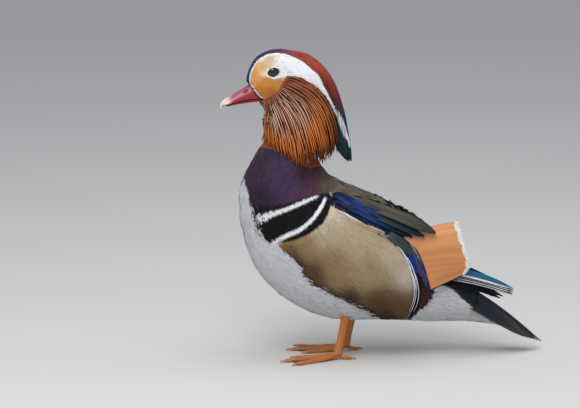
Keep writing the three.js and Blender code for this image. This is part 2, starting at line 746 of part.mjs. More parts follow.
const head = cut(body.add(bothLids), bothEyes, openings).intersect(halfSpace(HEAD_CUT, true));
put("head", head, COLOURS.head);
put("neck", body.intersect(halfSpace(HEAD_CUT, false)).intersect(halfSpace(NECK_CUT, true)), COLOURS.neck);
put("torso", body.intersect(halfSpace(NECK_CUT, false)).intersect(halfSpace(TAIL_CUT, true)), COLOURS.torso);
const tailBase = body.intersect(halfSpace(TAIL_CUT, false));
const tailParts = [sweep(TAIL_CORE, 12, 4), ...tailFeathers(), ...undertailFeathers()];
const tail = cut(join(tailParts), halfSpace(TAIL_CUT, true)).add(tailBase);
put("tail", tail, COLOURS.tail);
putPair("eye", eyeBall(0), COLOURS.eye, 0.1);

const half = solid(new THREE.BoxGeometry(400, 400, 400).translate(0, 200 + GAP / 2, 200));
const crestClear = sweep(CREST, 16, 14, { grow: GAP + 1 });
const crest = join([sweep(slimmed(CREST, CREST_SLIM), 16, 12), ...crestFeathers()]);
put("crest", cut(crest, bodyClear), COLOURS.crest);
const lidClear = solid(new THREE.SphereGeometry(LID_RADIUS + GAP, 11, 7).translate(EYE_AT.x, EYE_AT.y, EYE_AT.z));
const ruff = join([sweep(slimmed(CAPE, RUFF_SLIM, 6), 18, 6), ...hackles()]);
putPair("ruff", cut(ruff.intersect(half), bodyClear, crestClear, lidClear), COLOURS.ruff);
// What lies beside the flank is also cut away under it, so that no sliver of it stays between flank and body
const flankClear = flankPad(GAP);
const besideFlank = flankClear.add(solid(geometryOf(flankClear).translate(0, -UNDER_FLANK, 0)));
putPair("flank", cut(flankPad(0), bodyClear), COLOURS.flank);

const wing = join([wingPad(0), ...wingFeathers()]);
for (const [name, hold, flip] of [
  ["left", (made) => made, (made) => made],
  ["right", dropped, mirrorSolid],
]) {
  const raised = hold(sail());
  const sailClear = hold(sail(GAP));
  const overSail = solid(geometryOf(sailClear).translate(0, OVER_SAIL, 0));
  put(`sail_${name}`, flip(cut(raised, bodyClear, besideFlank)), COLOURS.sail);
  put(`wing_${name}`, flip(cut(wing.intersect(half), bodyClear, besideFlank, sailClear, overSail)), COLOURS.wing);
  put(`primaries_${name}`, flip(cut(flightFeathers().intersect(half), bodyClear, wing, sailClear, tail)), COLOURS.wing);
}

for (const [name, side, x] of [
  ["left", 1, LEFT_ANKLE_X],
  ["right", -1, LEFT_ANKLE_X - STRIDE],
]) {
  const place = (made, turn) => {
    const shape = geometryOf(made).rotateZ(turn).scale(1, side, 1).translate(x, side * FOOT_SPREAD, 0);
    return turnedOut(shape);
  };
  put(`leg_${name}`, cut(place(tarsus(), 0), bodyClear), COLOURS.leg, 0.5);
  put(`foot_${name}`, place(foot(), FOOT_TURN), COLOURS.leg, 0.5);
}

// The origin is on the floor under the middle of the bird
const box = new THREE.Box3().setFromObject(duck);
const middle = box.getCenter(V(0, 0, 0));
duck.traverse((part) => part.geometry?.translate(-middle.x, -middle.y, -box.min.z));

export default duck;
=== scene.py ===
import math

import bpy
import numpy as np
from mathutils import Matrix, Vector
from mathutils.bvhtree import BVHTree


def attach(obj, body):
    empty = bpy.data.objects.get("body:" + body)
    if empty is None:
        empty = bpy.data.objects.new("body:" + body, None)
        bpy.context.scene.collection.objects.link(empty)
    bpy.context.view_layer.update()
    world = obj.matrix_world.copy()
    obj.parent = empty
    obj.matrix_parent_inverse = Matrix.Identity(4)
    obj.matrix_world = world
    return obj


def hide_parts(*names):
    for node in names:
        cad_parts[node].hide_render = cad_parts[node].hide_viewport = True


# Shapes are worked out in millimetres: x forward, y to the bird's left, z up, the floor at z 0
MM = 0.001
SHIFT = np.array([35.0, 0.0, 0.0])
RANDOM = np.random.RandomState(11)

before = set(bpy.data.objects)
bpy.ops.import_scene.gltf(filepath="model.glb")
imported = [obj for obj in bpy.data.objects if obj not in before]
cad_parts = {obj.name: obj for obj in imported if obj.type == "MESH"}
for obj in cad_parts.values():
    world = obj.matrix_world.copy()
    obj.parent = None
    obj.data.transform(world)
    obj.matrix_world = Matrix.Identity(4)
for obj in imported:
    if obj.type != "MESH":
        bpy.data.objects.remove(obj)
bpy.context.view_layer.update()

# The side view that the markings are drawn in: its scale, turn, rise and origin
VIEW_SCALE = 0.93
VIEW_TURN = math.radians(8)
VIEW_RISE = math.radians(9)
VIEW_U = 345.0
VIEW_V = 355.0
SIN_TURN = math.sin(VIEW_TURN)
COS_TURN = math.cos(VIEW_TURN)
SIN_RISE = math.sin(VIEW_RISE)
COS_RISE = math.cos(VIEW_RISE)
VIEW_RIGHT = np.array([-COS_TURN, SIN_TURN, 0.0])
VIEW_UP = np.array([-SIN_TURN * SIN_RISE, -COS_TURN * SIN_RISE, COS_RISE])
VIEW_OUT = np.array([SIN_TURN * COS_RISE, COS_TURN * COS_RISE, SIN_RISE])


def linear(colour):
    """Screen values from 0 to 255 as light."""
    share = np.asarray(colour, float) / 255
    return np.where(share <= 0.04045, share / 12.92, ((share + 0.055) / 1.055) ** 2.4)


def side_view(points):
    """Where points lie in the side view, the right half seen as the left's mirror image."""
    x, y, z = points[..., 0], np.abs(points[..., 1]), points[..., 2]
    right = -x * COS_TURN + y * SIN_TURN
    up = -(x * SIN_TURN + y * COS_TURN) * SIN_RISE + z * COS_RISE
    return np.stack([VIEW_U + right / VIEW_SCALE, VIEW_V - up / VIEW_SCALE], -1)


def smooth(low, high, value):
    share = np.clip((value - low) / (high - low), 0, 1)
    return share * share * (3 - 2 * share)


def unit(vectors):
    return vectors / np.maximum(np.linalg.norm(vectors, axis=-1, keepdims=True), 1e-9)


def inside(places, outline):
    """Which places lie within a closed outline."""
    u, v = places[:, 0], places[:, 1]
    held = np.zeros(len(places), bool)
    for (u0, v0), (u1, v1) in zip(outline, outline[1:] + outline[:1]):
        if v0 == v1:
            continue
        crosses = (v0 > v) != (v1 > v)
        held ^= crosses & (u < (u1 - u0) * (v - v0) / (v1 - v0) + u0)
    return held


def away(places, line):
    """Distance to an open line, and the share of its segments passed at the nearest place."""
    best = np.full(len(places), 1e9)
    share = np.zeros(len(places))
    for i, (a, b) in enumerate(zip(line[:-1], line[1:])):
        a, b = np.array(a[:2], float), np.array(b[:2], float)
        span = b - a
        t = np.clip(((places - a) @ span) / (span @ span), 0, 1)
        gap = np.linalg.norm(places - a - t[:, None] * span, axis=1)
        nearer = gap < best
        best = np.where(nearer, gap, best)
        share = np.where(nearer, (i + t) / (len(line) - 1), share)
    return best, share


def along(line, share):
    """A value listed evenly along a line, at shares of its length."""
    values = np.asarray(line, float)
    at = np.clip(np.asarray(share), 0, 1) * (len(values) - 1)
    low = np.minimum(at.astype(int), len(values) - 2)
    part = (at - low)[..., None]
    return values[low] * (1 - part) + values[low + 1] * part


def curve(points, share):
    """A smooth curve through points."""
    p = np.asarray(points, float)
    at = np.clip(np.asarray(share, float), 0, 1) * (len(p) - 1)
    low = np.minimum(at.astype(int), len(p) - 2)
    t = (at - low)[..., None]
    ends = np.vstack([2 * p[0] - p[1], p, 2 * p[-1] - p[-2]])
    a, b, c, d = ends[low], ends[low + 1], ends[low + 2], ends[low + 3]
    return 0.5 * (2 * b + (c - a) * t + (2 * a - 5 * b + 4 * c - d) * t**2 + (3 * b - a - 3 * c + d) * t**3)


# Closed tubes through stations (x, z, reach up, reach down, reach to each side)
TRUNK = [
    (-157, 31, 4, 4, 5),
    (-127, 46, 8, 16, 15),
    (-89, 64, 25, 37, 29),
    (-47, 84, 44, 56, 40),
    (-5, 104, 52, 73, 46),
    (31, 128, 47, 71, 45),
    (52, 155, 39, 51, 38),
    (54, 180, 32, 34, 30),
    (50, 203, 24, 23, 23),
    (46, 227, 19, 19, 18),
    (43, 248, 17, 17, 16),
]
UNDERTAIL = [(-100, 48, 6, 16, 20), (-122, 40, 6, 12, 16), (-142, 31, 4, 6, 10), (-160, 22, 1.5, 2, 3)]
CREST = [
    (76, 277, 3, 6, 5),
    (56, 281, 6, 10, 8),
    (36, 273, 8, 12, 9),
    (20, 256, 8, 12, 9),
    (9, 230, 7, 11, 8),
    (3.5, 208, 6, 11, 6.5),
    (-1, 193, 4, 10, 5),
    (-4.5, 183, 1.5, 5, 2.5),
]
BILL = [
    (78, 243.5, 19, 0.8, 7.6),
    (83, 242.6, 15, 0.8, 7.4),
    (91, 241.5, 11.5, 0.8, 6.9),
    (99, 240, 8.2, 0.8, 6.3),
    (107, 238, 5, 0.8, 5.6),
    (112, 236.6, 3.2, 0.7, 4.6),
    (114.5, 235.8, 1.5, 0.5, 2.5),
]
LOWER_BILL = [
    (77, 242, 0.6, 2.6, 6.4),
    (84, 241, 0.6, 2.7, 6.2),
    (92, 239.9, 0.6, 2.4, 5.8),
    (100, 238.4, 0.6, 2, 5.2),
    (107, 236.6, 0.6, 1.5, 4.4),
    (110.5, 235.5, 0.5, 1, 3),
]
NAIL = [(108, 242.4, 1, 2, 2.6), (112, 240, 1.3, 2, 3.5), (114.8, 236.5, 1.3, 1.7, 3.3), (115.4, 232.6, 0.8, 1, 2)]


def tube(stations, rings, sides, bulge=1.0):
    """A closed tube in the middle plane. bulge below 1 squares its sections, above 1 pinches them."""
    values = curve(stations, np.linspace(0, 1, rings))
    centre = np.stack([values[:, 0], np.zeros(rings), values[:, 1]], 1)
    ahead = unit(np.gradient(centre, axis=0))
    up = np.stack([-ahead[:, 2], np.zeros(rings), ahead[:, 0]], 1)
    up *= np.sign(up[:, 2:3] + 1e-9)
    turn = np.linspace(0, 2 * math.pi, sides, endpoint=False)
    high, wide = np.cos(turn), np.sin(turn)
    high = np.sign(high) * np.abs(high) ** bulge
    wide = np.sign(wide) * np.abs(wide) ** bulge
    tall = np.where(high[None, :] > 0, values[:, 2:3], values[:, 3:4])
    spots = centre[:, None, :] + up[:, None, :] * (high[None, :] * tall)[..., None]
    spots[..., 1] += wide[None, :] * values[:, 4:5]
    faces = grid_faces(rings, sides, closed=True)
    points = np.vstack([spots.reshape(-1, 3), centre[:1], centre[-1:]])
    first, last = rings * sides, rings * sides + 1
    for j in range(sides):
        k = (j + 1) % sides
        faces.append((first, k, j))
        faces.append((last, (rings - 1) * sides + j, (rings - 1) * sides + k))
    return points, faces


def grid_faces(rows, columns, closed=False, start=0):
    faces = []
    for i in range(rows - 1):
        for j in range(columns if closed else columns - 1):
            k = (j + 1) % columns
            a, b = start + i * columns, start + (i + 1) * columns
            faces.append((a + j, a + k, b + k, b + j))
    return faces


def node_shape(name):
    """A frame node's corners in millimetres and its triangles."""
    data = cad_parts[name].data
    spots = np.empty(len(data.vertices) * 3)
    data.vertices.foreach_get("co", spots)
    data.calc_loop_triangles()
    corners = np.empty(len(data.loop_triangles) * 3, int)
    data.loop_triangles.foreach_get("vertices", corners)
    return spots.reshape(-1, 3) / MM - SHIFT, corners.reshape(-1, 3)


def corner_normals(points, faces):
    """Smooth normals at the corners of triangles or four-sided faces."""
    a, b, c = points[faces[:, 0]], points[faces[:, 1]], points[faces[:, 2]]
    d = points[faces[:, -1]]
    across = np.cross(c - a, d - b) if faces.shape[1] == 4 else np.cross(b - a, c - a)
    total = np.zeros_like(points)
    for k in range(faces.shape[1]):
        np.add.at(total, faces[:, k], across)
    return unit(total)


def plain_object(name, points, faces):
    mesh = bpy.data.meshes.new(name)
    mesh.from_pydata(np.asarray(points).tolist(), [], [tuple(f) for f in faces])
    made = bpy.data.objects.new(name, mesh)
    bpy.context.scene.collection.objects.link(made)
    return made


def melted(shapes, voxel):
    """Several closed shapes as one surface of even four-sided faces."""
    points, faces, count = [], [], 0
    for spots, sides in shapes:
        points.append(np.asarray(spots))
        faces += [tuple(int(v) + count for v in f) for f in sides]
        count += len(spots)
    made = plain_object("melting", np.vstack(points), faces)
    remesh = made.modifiers.new("voxel", "REMESH")
    remesh.mode = "VOXEL"
    remesh.voxel_size = voxel
    shown = made.evaluated_get(bpy.context.evaluated_depsgraph_get())
    mesh = shown.to_mesh()
    spots = np.empty(len(mesh.vertices) * 3)
    mesh.vertices.foreach_get("co", spots)
    corners = np.empty(len(mesh.loops), int)
    mesh.loops.foreach_get("vertex_index", corners)
    shown.to_mesh_clear()
    bpy.data.objects.remove(made)
    return spots.reshape(-1, 3), corners.reshape(-1, 4)


def relaxed(points, faces, rounds, share=0.5):
    """The same surface with each corner drawn towards its neighbours."""
    near = np.vstack([faces[:, [0, 1]], faces[:, [1, 2]], faces[:, [2, 3]], faces[:, [3, 0]]])
    near = np.unique(np.sort(near, axis=1), axis=0)
    ends = np.concatenate([near[:, 0], near[:, 1]])
    others = np.concatenate([near[:, 1], near[:, 0]])
    count = np.bincount(ends, minlength=len(points))[:, None]
    spots = points.copy()
    for _ in range(rounds):
        total = np.stack([np.bincount(ends, spots[others, k], minlength=len(points)) for k in range(3)], 1)
        spots += share * (total / count - spots)
    return spots


class Surface:
    """A surface that feathers are laid on."""

    def __init__(self, points, faces):
        self.points = points
        self.faces = faces
        self.normals = corner_normals(points, faces)
        self.tree = BVHTree.FromPolygons(points.tolist(), faces.tolist())

    def normals_at(self, spots, index):
        corners = self.faces[index]
        gaps = np.linalg.norm(self.points[corners] - spots[:, None], axis=2)
        weights = 1 / (gaps + 0.05)
        return unit((self.normals[corners] * weights[..., None]).sum(1))

    def nearest(self, spots):
        found = [self.tree.find_nearest(spot) for spot in spots.tolist()]
        places = np.array([f[0] for f in found])
        index = np.array([f[2] for f in found])
        gaps = np.array([f[3] for f in found])
        return places, self.normals_at(places, index), gaps

    def seen(self, places):
        """The places on the left that the side view shows at (u, v)."""
        places = np.atleast_2d(np.asarray(places, float))
        right = (places[:, :1] - VIEW_U) * VIEW_SCALE
        up = (VIEW_V - places[:, 1:2]) * VIEW_SCALE
        start = right * VIEW_RIGHT + up * VIEW_UP + 300 * VIEW_OUT
        spots = []
        for from_, near in zip(start, start - 300 * VIEW_OUT):
            hit = self.tree.ray_cast(Vector(from_), Vector(-VIEW_OUT))
            spots.append(tuple(hit[0]) if hit[0] is not None else tuple(self.tree.find_nearest(near)[0]))
        return self.nearest(np.array(spots))[:2]


class Relief:
    """A smooth sheet over part of the side view, just clear of the surfaces under it, for long feathers to lie on."""

    STEP = 1.5

    def __init__(self, trees, corner, far_corner, clear, rise, fall, rounds):
        self.corner = np.array(corner, float)
        columns, rows = ((np.array(far_corner) - self.corner) / self.STEP).astype(int) + 1
        depth = np.full((rows, columns), np.nan)
        for i in range(rows):
            for j in range(columns):
                u, v = self.corner + self.STEP * np.array([j, i])
                start = (u - VIEW_U) * VIEW_SCALE * VIEW_RIGHT + (VIEW_V - v) * VIEW_SCALE * VIEW_UP + 300 * VIEW_OUT
                hits = [tree.ray_cast(Vector(start), Vector(-VIEW_OUT), 320.0)[0] for tree in trees]
                hits = [hit.dot(Vector(VIEW_OUT)) for hit in hits if hit is not None]
                depth[i, j] = max(hits) if hits else np.nan
        while np.isnan(depth).any():
            padded = np.pad(depth, 1, constant_values=np.nan)
            near = np.stack([padded[1:-1, 2:], padded[1:-1, :-2], padded[2:, 1:-1], padded[:-2, 1:-1]])
            known = ~np.isnan(near)
            filled = np.where(known, near, 0).sum(0) / np.maximum(known.sum(0), 1) - fall
            depth = np.where(np.isnan(depth) & known.any(0), filled, depth)
        for _ in range(clear):
            padded = np.pad(depth, 1, mode="edge")
            near = [padded[1:-1, 2:], padded[1:-1, :-2], padded[2:, 1:-1], padded[:-2, 1:-1]]
            depth = np.maximum(depth, np.minimum(np.max(near, 0), depth + rise))
        for _ in range(rounds):
            padded = np.pad(depth, 1, mode="edge")
            around = padded[1:-1, 2:] + padded[1:-1, :-2] + padded[2:, 1:-1] + padded[:-2, 1:-1]
            depth = 0.5 * depth + 0.125 * around
        self.depth = depth
        down, right = np.gradient(depth, self.STEP * VIEW_SCALE)
        self.slopes = np.stack([right, -down], -1)

    def at(self, places):
        """The sheet's places and normals at (u, v)."""
        places = np.asarray(places, float)
        where = (places - self.corner) / self.STEP
        limit = np.array(self.depth.shape[::-1]) - 1.001
        where = np.clip(where, 0, limit)
        low = where.astype(int)
        share = where - low
        j, i = low[..., 0], low[..., 1]
        a, b = share[..., 0], share[..., 1]

        def read(table):
            weights = [(1 - a) * (1 - b), a * (1 - b), (1 - a) * b, a * b]
            values = [table[i, j], table[i, j + 1], table[i + 1, j], table[i + 1, j + 1]]
            if table.ndim == 3:
                weights = [weight[..., None] for weight in weights]
            return sum(weight * value for weight, value in zip(weights, values))

        depth = read(self.depth)
        slopes = read(self.slopes)
        right = (places[..., :1] - VIEW_U) * VIEW_SCALE
        up = (VIEW_V - places[..., 1:]) * VIEW_SCALE
        spots = right * VIEW_RIGHT + up * VIEW_UP + depth[..., None] * VIEW_OUT
        return spots, unit(VIEW_OUT - slopes[..., :1] * VIEW_RIGHT - slopes[..., 1:] * VIEW_UP)


def mirrored(points):
    return points * np.array([1.0, -1.0, 1.0])


# Eyes
EYE_AT = np.array([69.0, 11.4, 267.5])
EYE_RADIUS = 6.0
EYE_OPENING = [
    (267.9, 76.8),
    (269.3, 73.5),
    (272.0, 71.4),
    (275.3, 70.9),
    (278.2, 72.0),
    (279.9, 74.4),
    (279.3, 77.2),
    (277.0, 79.2),
    (273.6, 80.1),
    (270.2, 79.2),
]

# Where the bill meets the face in the side view
BILL_EDGE = [(247, 83), (249.5, 86.5), (251.8, 90), (254.3, 94), (257, 97.5), (259.6, 100), (263, 102)]
BILL_SEAT = BILL_EDGE + [(255, 112), (225, 110), (235, 83)]
SEAT_AT = np.array([80.0, 0.0, 247.0])

# The skin is one surface under all the short plumage, inside the solids by the coat's depth
SKIN_VOXEL = 1.3
COAT_DEPTH = 1.3
HEAD_DEPTH = 0.7
CARRIERS = ["torso", "neck", "head", "crest", "flank_left", "flank_right", "wing_left", "wing_right"]
CARRIERS += ["ruff_left", "ruff_right"]


def swollen(shape, by):
    points, faces = shape
    return points + by * corner_normals(points, faces), faces


shapes = [swollen(node_shape(name), 0.4) for name in CARRIERS]
shapes.append(tube(TRUNK[1:], 50, 40))
shapes.append(tube(UNDERTAIL, 16, 24))
shapes.append(tube([(x, z, 0.75 * up, 0.75 * down, 0.75 * aside) for x, z, up, down, aside in CREST[2:]], 30, 30))
skin_points, skin_faces = melted(shapes, SKIN_VOXEL)
skin_points = relaxed(skin_points, skin_faces, 8)
on_head = smooth(238, 250, skin_points[:, 2])
depth = COAT_DEPTH + (HEAD_DEPTH - COAT_DEPTH) * on_head
skin_points = skin_points - depth[:, None] * corner_normals(skin_points, skin_faces)
# Sockets: the skin inside the lids lies behind the eyeball
sockets = inside(side_view(skin_points), EYE_OPENING) & (skin_points[:, 0] > 60) & (np.abs(skin_points[:, 1]) > 5)
skin_points[sockets, 1] *= 0.45
# The face draws in to where the bill comes out
seat = inside(side_view(skin_points), BILL_SEAT) & (skin_points[:, 2] > 236) & (skin_points[:, 0] > 74)
skin_points[seat] = SEAT_AT + (skin_points[seat] - SEAT_AT) * np.array([0.35, 0.72, 0.72])
skin = Surface(skin_points, skin_faces)

# The unwrap that coat patches are placed on: the distance along the bird's own axis, and the angle round it
AXIS = [(-190, 10), (-127, 46), (-47, 84), (-5, 104), (31, 128), (52, 155), (52, 203), (46, 235), (56, 258), (118, 240)]
PATCH = 0.003


def unwrap(points):
    axis = np.array([(x, z) for x, z in AXIS], float)
    flat = points[:, [0, 2]]
    gap, share = away(flat, AXIS)
    centre = along(axis, share)
    ahead = along(axis, np.minimum(share + 0.02, 1)) - along(axis, np.maximum(share - 0.02, 0))
    ahead = unit(ahead)
    above = (flat[:, 0] - centre[:, 0]) * -ahead[:, 1] + (flat[:, 1] - centre[:, 1]) * ahead[:, 0]
    turn = np.arctan2(points[:, 1], above) / (2 * math.pi) + 0.5
    return np.stack([0.01 + 0.98 * share, 0.01 + 0.98 * turn], 1)


# Lie of the plumage, as lines from front to rear in the side view
LIE = [
    [(250, 84), (251, 72), (258, 60), (270, 53), (285, 51.5), (300, 56), (313, 63), (322, 72), (329, 86)],
    [(329, 86), (336, 101), (343, 120), (349, 140), (352, 160), (353, 175)],
    [(290, 62), (303, 70), (314, 80), (322, 92), (330, 104), (337, 120), (343, 135), (348, 155)],
    [(256, 80), (262, 72), (272, 66), (285, 66), (300, 72), (315, 84), (326, 98), (335, 114)],
    [(251, 88), (264, 84), (275, 85), (285, 83), (297, 82), (307, 85), (317, 92), (325, 102), (331, 113)],
    [(331, 113), (335, 126), (337, 140), (337, 155)],
    [(256, 94), (268, 91), (281, 90), (291, 94), (301, 102), (309, 113), (315, 127), (319, 143), (320, 165)],
    [(262, 97), (271, 96), (281, 104), (287, 114), (292, 126), (296, 140), (299, 153), (300, 170)],
    [(258, 98), (268, 101), (271, 109), (274, 119), (276, 130), (278, 140), (280, 155), (278, 170)],
    [(260, 100), (264, 107), (266, 118), (263, 132), (258, 148), (251, 163), (245, 180), (241, 200)],
    [(241, 200), (242, 225), (246, 245), (253, 262), (262, 277), (276, 290), (295, 302), (318, 312)],
    [(318, 312), (345, 318), (375, 322), (400, 323), (425, 323), (450, 325), (480, 326), (505, 328)],
    [(278, 170), (266, 185), (259, 200), (257, 220), (263, 240), (275, 258), (295, 275), (320, 290)],
    [(320, 290), (350, 302), (380, 315), (410, 320)],
    [(300, 170), (290, 185), (283, 200), (280, 218), (286, 238), (300, 255), (325, 275), (355, 295)],
    [(355, 295), (385, 310), (405, 318)],
    [(320, 165), (315, 182), (308, 198), (308, 215), (316, 232), (335, 250), (365, 270), (395, 290), (410, 300)],
    [(326, 168), (328, 182), (328, 200), (336, 216), (355, 234), (380, 252), (400, 272), (412, 295)],
    [(330, 172), (345, 183), (365, 192), (385, 202), (405, 212), (428, 225), (450, 240), (470, 258)],
    [(332, 190), (350, 198), (370, 208), (388, 220), (400, 232), (412, 250), (424, 275)],
    [(335, 210), (355, 222), (375, 232), (390, 245), (402, 262), (410, 280), (413, 300), (411, 318)],
    [(425, 285), (445, 292), (465, 300), (485, 310), (505, 325)],
    [(425, 305), (445, 308), (465, 314), (485, 322), (500, 330)],
]
lie_places = []
lie_ways = []
for line in LIE:
    line = np.array(line, float)
    shares = np.linspace(0, 1, 4 * len(line))
    spots = along(line, shares)
    lie_places.append(spots)
    lie_ways.append(unit(np.gradient(spots, axis=0)))
lie_places = np.vstack(lie_places)
lie_ways = np.vstack(lie_ways)


def lie_at(points, normals):
    """Which way the plumage lies at places on the bird."""
    seen = side_view(points)
    way = np.empty_like(seen)
    for start in range(0, len(seen), 20000):
        part = slice(start, start + 20000)
        gaps = ((seen[part, None] - lie_places[None]) ** 2).sum(2)
        weights = 1 / (gaps + 4.0) ** 2
        way[part] = weights @ lie_ways
    way = unit(way)
    ahead = way[:, :1] * VIEW_RIGHT - way[:, 1:] * VIEW_UP
    ahead[:, 1] *= np.sign(points[:, 1] + 1e-9)
    return unit(ahead - (ahead * normals).sum(1, keepdims=True) * normals)


# Markings, drawn in the side view
STRIPE_LOW = [
    (249.5, 87),
    (250.2, 79),
    (252, 72.5),
    (255.5, 66.5),
    (260.5, 61.5),
    (267, 58),
    (275, 56.5),
    (283, 56.8),
    (290, 58.5),
    (297, 62),
    (303, 65.5),
    (309, 70),
    (315, 75.5),
    (319.5, 81),
    (322, 87),
    (325.5, 93),
    (329, 99),
    (333, 107),
    (336.5, 114),
    (339, 120),
    (343, 130),
    (347, 142),
    (350, 152),
    (352, 166),
]
STRIPE = STRIPE_LOW + [(352, 180), (370, 180), (370, 30), (240, 30), (240, 87)]
BAND = STRIPE_LOW[7:20] + [(341.5, 131), (338.5, 125), (335.5, 117), (332, 109.5), (328, 103), (324, 97)]
BAND += [(319, 91.5), (314, 87.5), (307, 83), (300, 80), (293, 78.4), (286, 78.6), (284, 72), (278, 64)]
THIN_STREAK = [(338, 114.5), (341, 121), (344, 128.5), (347, 138), (349, 147)]
EYE_RING = [(266.3, 76.2), (267.8, 72), (271, 69.8), (275, 69.2), (279, 70.4), (282.2, 73), (284.6, 76.2)]
EYE_RING += [(288, 78.6), (283.4, 80), (279, 81.3), (274, 82), (269.8, 81), (267, 79)]
RUFF = [(287, 78.6), (300, 80), (314, 87.5), (319, 91.5), (326, 100), (333, 112), (338, 125), (340, 140)]
RUFF += [(337, 154), (326, 165), (310, 169), (296, 165), (284, 157), (272, 150), (262, 148), (250, 150)]
RUFF += [(258, 130), (262, 110), (264, 103), (270, 99), (279, 93), (283, 84)]
RUFF_TOP = [(262, 110), (264, 103), (270, 99), (279, 93), (283, 84), (287, 78.6), (300, 80), (314, 87.5), (319, 91.5)]
RUFF_TOP += [(326, 100), (333, 112)]
CHIN = [(258, 98), (270, 99), (268, 106), (272, 116), (262, 118), (250, 108), (250, 99)]
TEAL_NAPE = [(317, 91), (325, 99), (332, 110), (338, 123), (343, 137), (350, 150), (352, 178), (338, 172)]
TEAL_NAPE += [(333, 148), (331, 133), (327, 119), (321, 105)]
FRONT_EDGE = [(247, 171), (244, 177), (246, 185), (249, 195), (251, 205), (254, 213)]
PURPLE = [(215, 100), (262, 104), (268, 140), (326, 140), (327, 166), (332, 178), (337, 185), (331, 192)]
PURPLE += [(323, 196), (317, 197), (304, 201.5), (290, 208), (275, 214), (262, 220), (256, 222)]
PURPLE += FRONT_EDGE[::-1] + [(215, 168)]
BARS = [(256, 207), (270, 206), (285, 204), (300, 199), (312, 195.5), (320, 194), (328, 193), (333, 199), (333, 206)]
BARS += [(328, 214), (322, 222.5), (316, 228), (308, 233.5), (300, 237.5), (290, 240.5), (280, 242.5)]
BARS += [(272, 244), (266, 240), (262, 235), (258, 229), (255, 222), (253, 213)]
FIRST_BAR = [(260, 219, 3.0), (268, 216, 3.0), (275, 213.5, 2.3), (283, 210.5, 1.9), (290, 208, 1.8)]
FIRST_BAR += [(297, 205, 1.8), (304, 202, 1.6), (310, 199.2, 1.4), (317, 196.6, 0.9)]
SECOND_BAR = [(271, 243.5, 1.2), (278, 240, 1.8), (283, 237, 2.0), (290, 233.7, 2.0), (297, 230.7, 2.0)]
SECOND_BAR += [(303, 227, 1.8), (309, 222, 1.8), (314, 216.5, 1.8), (318, 211, 1.7), (322, 204.5, 1.7)]
SECOND_BAR += [(324.4, 198.6, 1.2)]
FLANK_TOP = [(330, 206), (340, 210), (350, 216.5), (360, 222), (370, 226), (378, 229), (385, 234), (392, 241)]
FLANK_REAR = [(398, 249), (404, 258), (408, 266), (411, 275), (413.5, 284), (414, 293), (413, 302), (411, 310)]
FLANK_REAR += [(408, 318)]
FLANK_LOW = [(400, 322), (385, 321), (372, 314.5), (362, 308.5), (352, 303), (340, 297.5), (328, 292.5)]
FLANK_LOW += [(318, 286.5), (308, 280), (301, 273), (302, 267), (297, 262), (290, 256), (283, 250), (277, 244.5)]
FLANK_FRONT = [(285, 241.5), (297, 238.5), (304, 235.5), (311, 231.5), (317, 227.3), (323, 221.5), (327, 214.5)]
FLANK = FLANK_TOP + FLANK_REAR + FLANK_LOW + FLANK_FRONT
FLANK_RIM = [(342, 211.5, 0.5), (350, 217, 1.2), (356, 220.5, 0.6)]
BESIDE_SAIL = [(378, 229), (388, 231), (400, 233), (405, 237), (411, 249), (417, 257), (422, 266), (425, 276)]
BESIDE_SAIL += [(433, 289), (431, 297), (426, 304), (418, 310), (408, 321)] + FLANK_REAR[::-1]
COVERTS = [(386, 234.5), (394, 234), (402, 236.5), (407, 243), (411.5, 251), (406.5, 256), (402, 253), (396, 245)]
MIRROR = [(404, 257.5), (411.5, 256), (415.5, 264), (418.5, 272), (413, 273), (409, 266)]
LILAC = [(410.5, 251.5), (417, 257), (422, 266), (425, 277), (428, 290), (424.5, 286), (420, 276), (416, 265)]
SCAPULARS = [(327, 196), (338, 188), (360, 188), (400, 206), (432, 228), (425, 236), (400, 236), (378, 230)]
SCAPULARS += [(350, 217), (329, 206)]
CHESTNUT = [(417, 282), (424, 289), (433, 291), (431, 297), (427, 303), (421, 309), (417, 305), (415, 296)]
BACK = [(322, 140), (320, 168), (327, 182), (330, 192), (331, 204), (345, 213), (378, 229), (400, 234)]
BACK += [(420, 244), (426, 268), (438, 284), (446, 286), (470, 300), (520, 310), (520, 140)]

# Colours as seen on a screen
WHITE = (226, 228, 232)
BELLY = (200, 201, 206)
BLACK = (10, 9, 12)
FACE_SPOTS = [
    ((253, 82), 7, (216, 150, 84)),
    ((262, 70), 6, (210, 170, 116)),
    ((261, 61), 3, (234, 228, 218)),
    ((271, 62), 4, (196, 178, 146)),
    ((280, 61), 5, (216, 208, 190)),
    ((268, 85), 6, (200, 130, 62)),
    ((262, 93), 6, (194, 120, 52)),
    ((280, 88), 6, (190, 128, 68)),
    ((272, 95), 6, (176, 110, 50)),
    ((287, 66), 9, (228, 229, 231)),
    ((265, 76), 4, (230, 208, 172)),
    ((291, 73), 8, (230, 228, 222)),
]
PURPLE_SPOTS = [
    ((275, 152), 14, (44, 32, 66)),
    ((258, 168), 12, (52, 38, 58)),
    ((285, 182), 16, (54, 34, 68)),
    ((304, 172), 12, (50, 26, 44)),
    ((310, 190), 10, (70, 40, 54)),
    ((262, 200), 12, (40, 28, 44)),
    ((292, 197), 10, (66, 38, 74)),
    ((326, 186), 8, (78, 70, 58)),
    ((320, 150), 12, (42, 28, 32)),
    ((250, 205), 7, (38, 22, 22)),
    ((262, 130), 14, (150, 92, 62)),
]
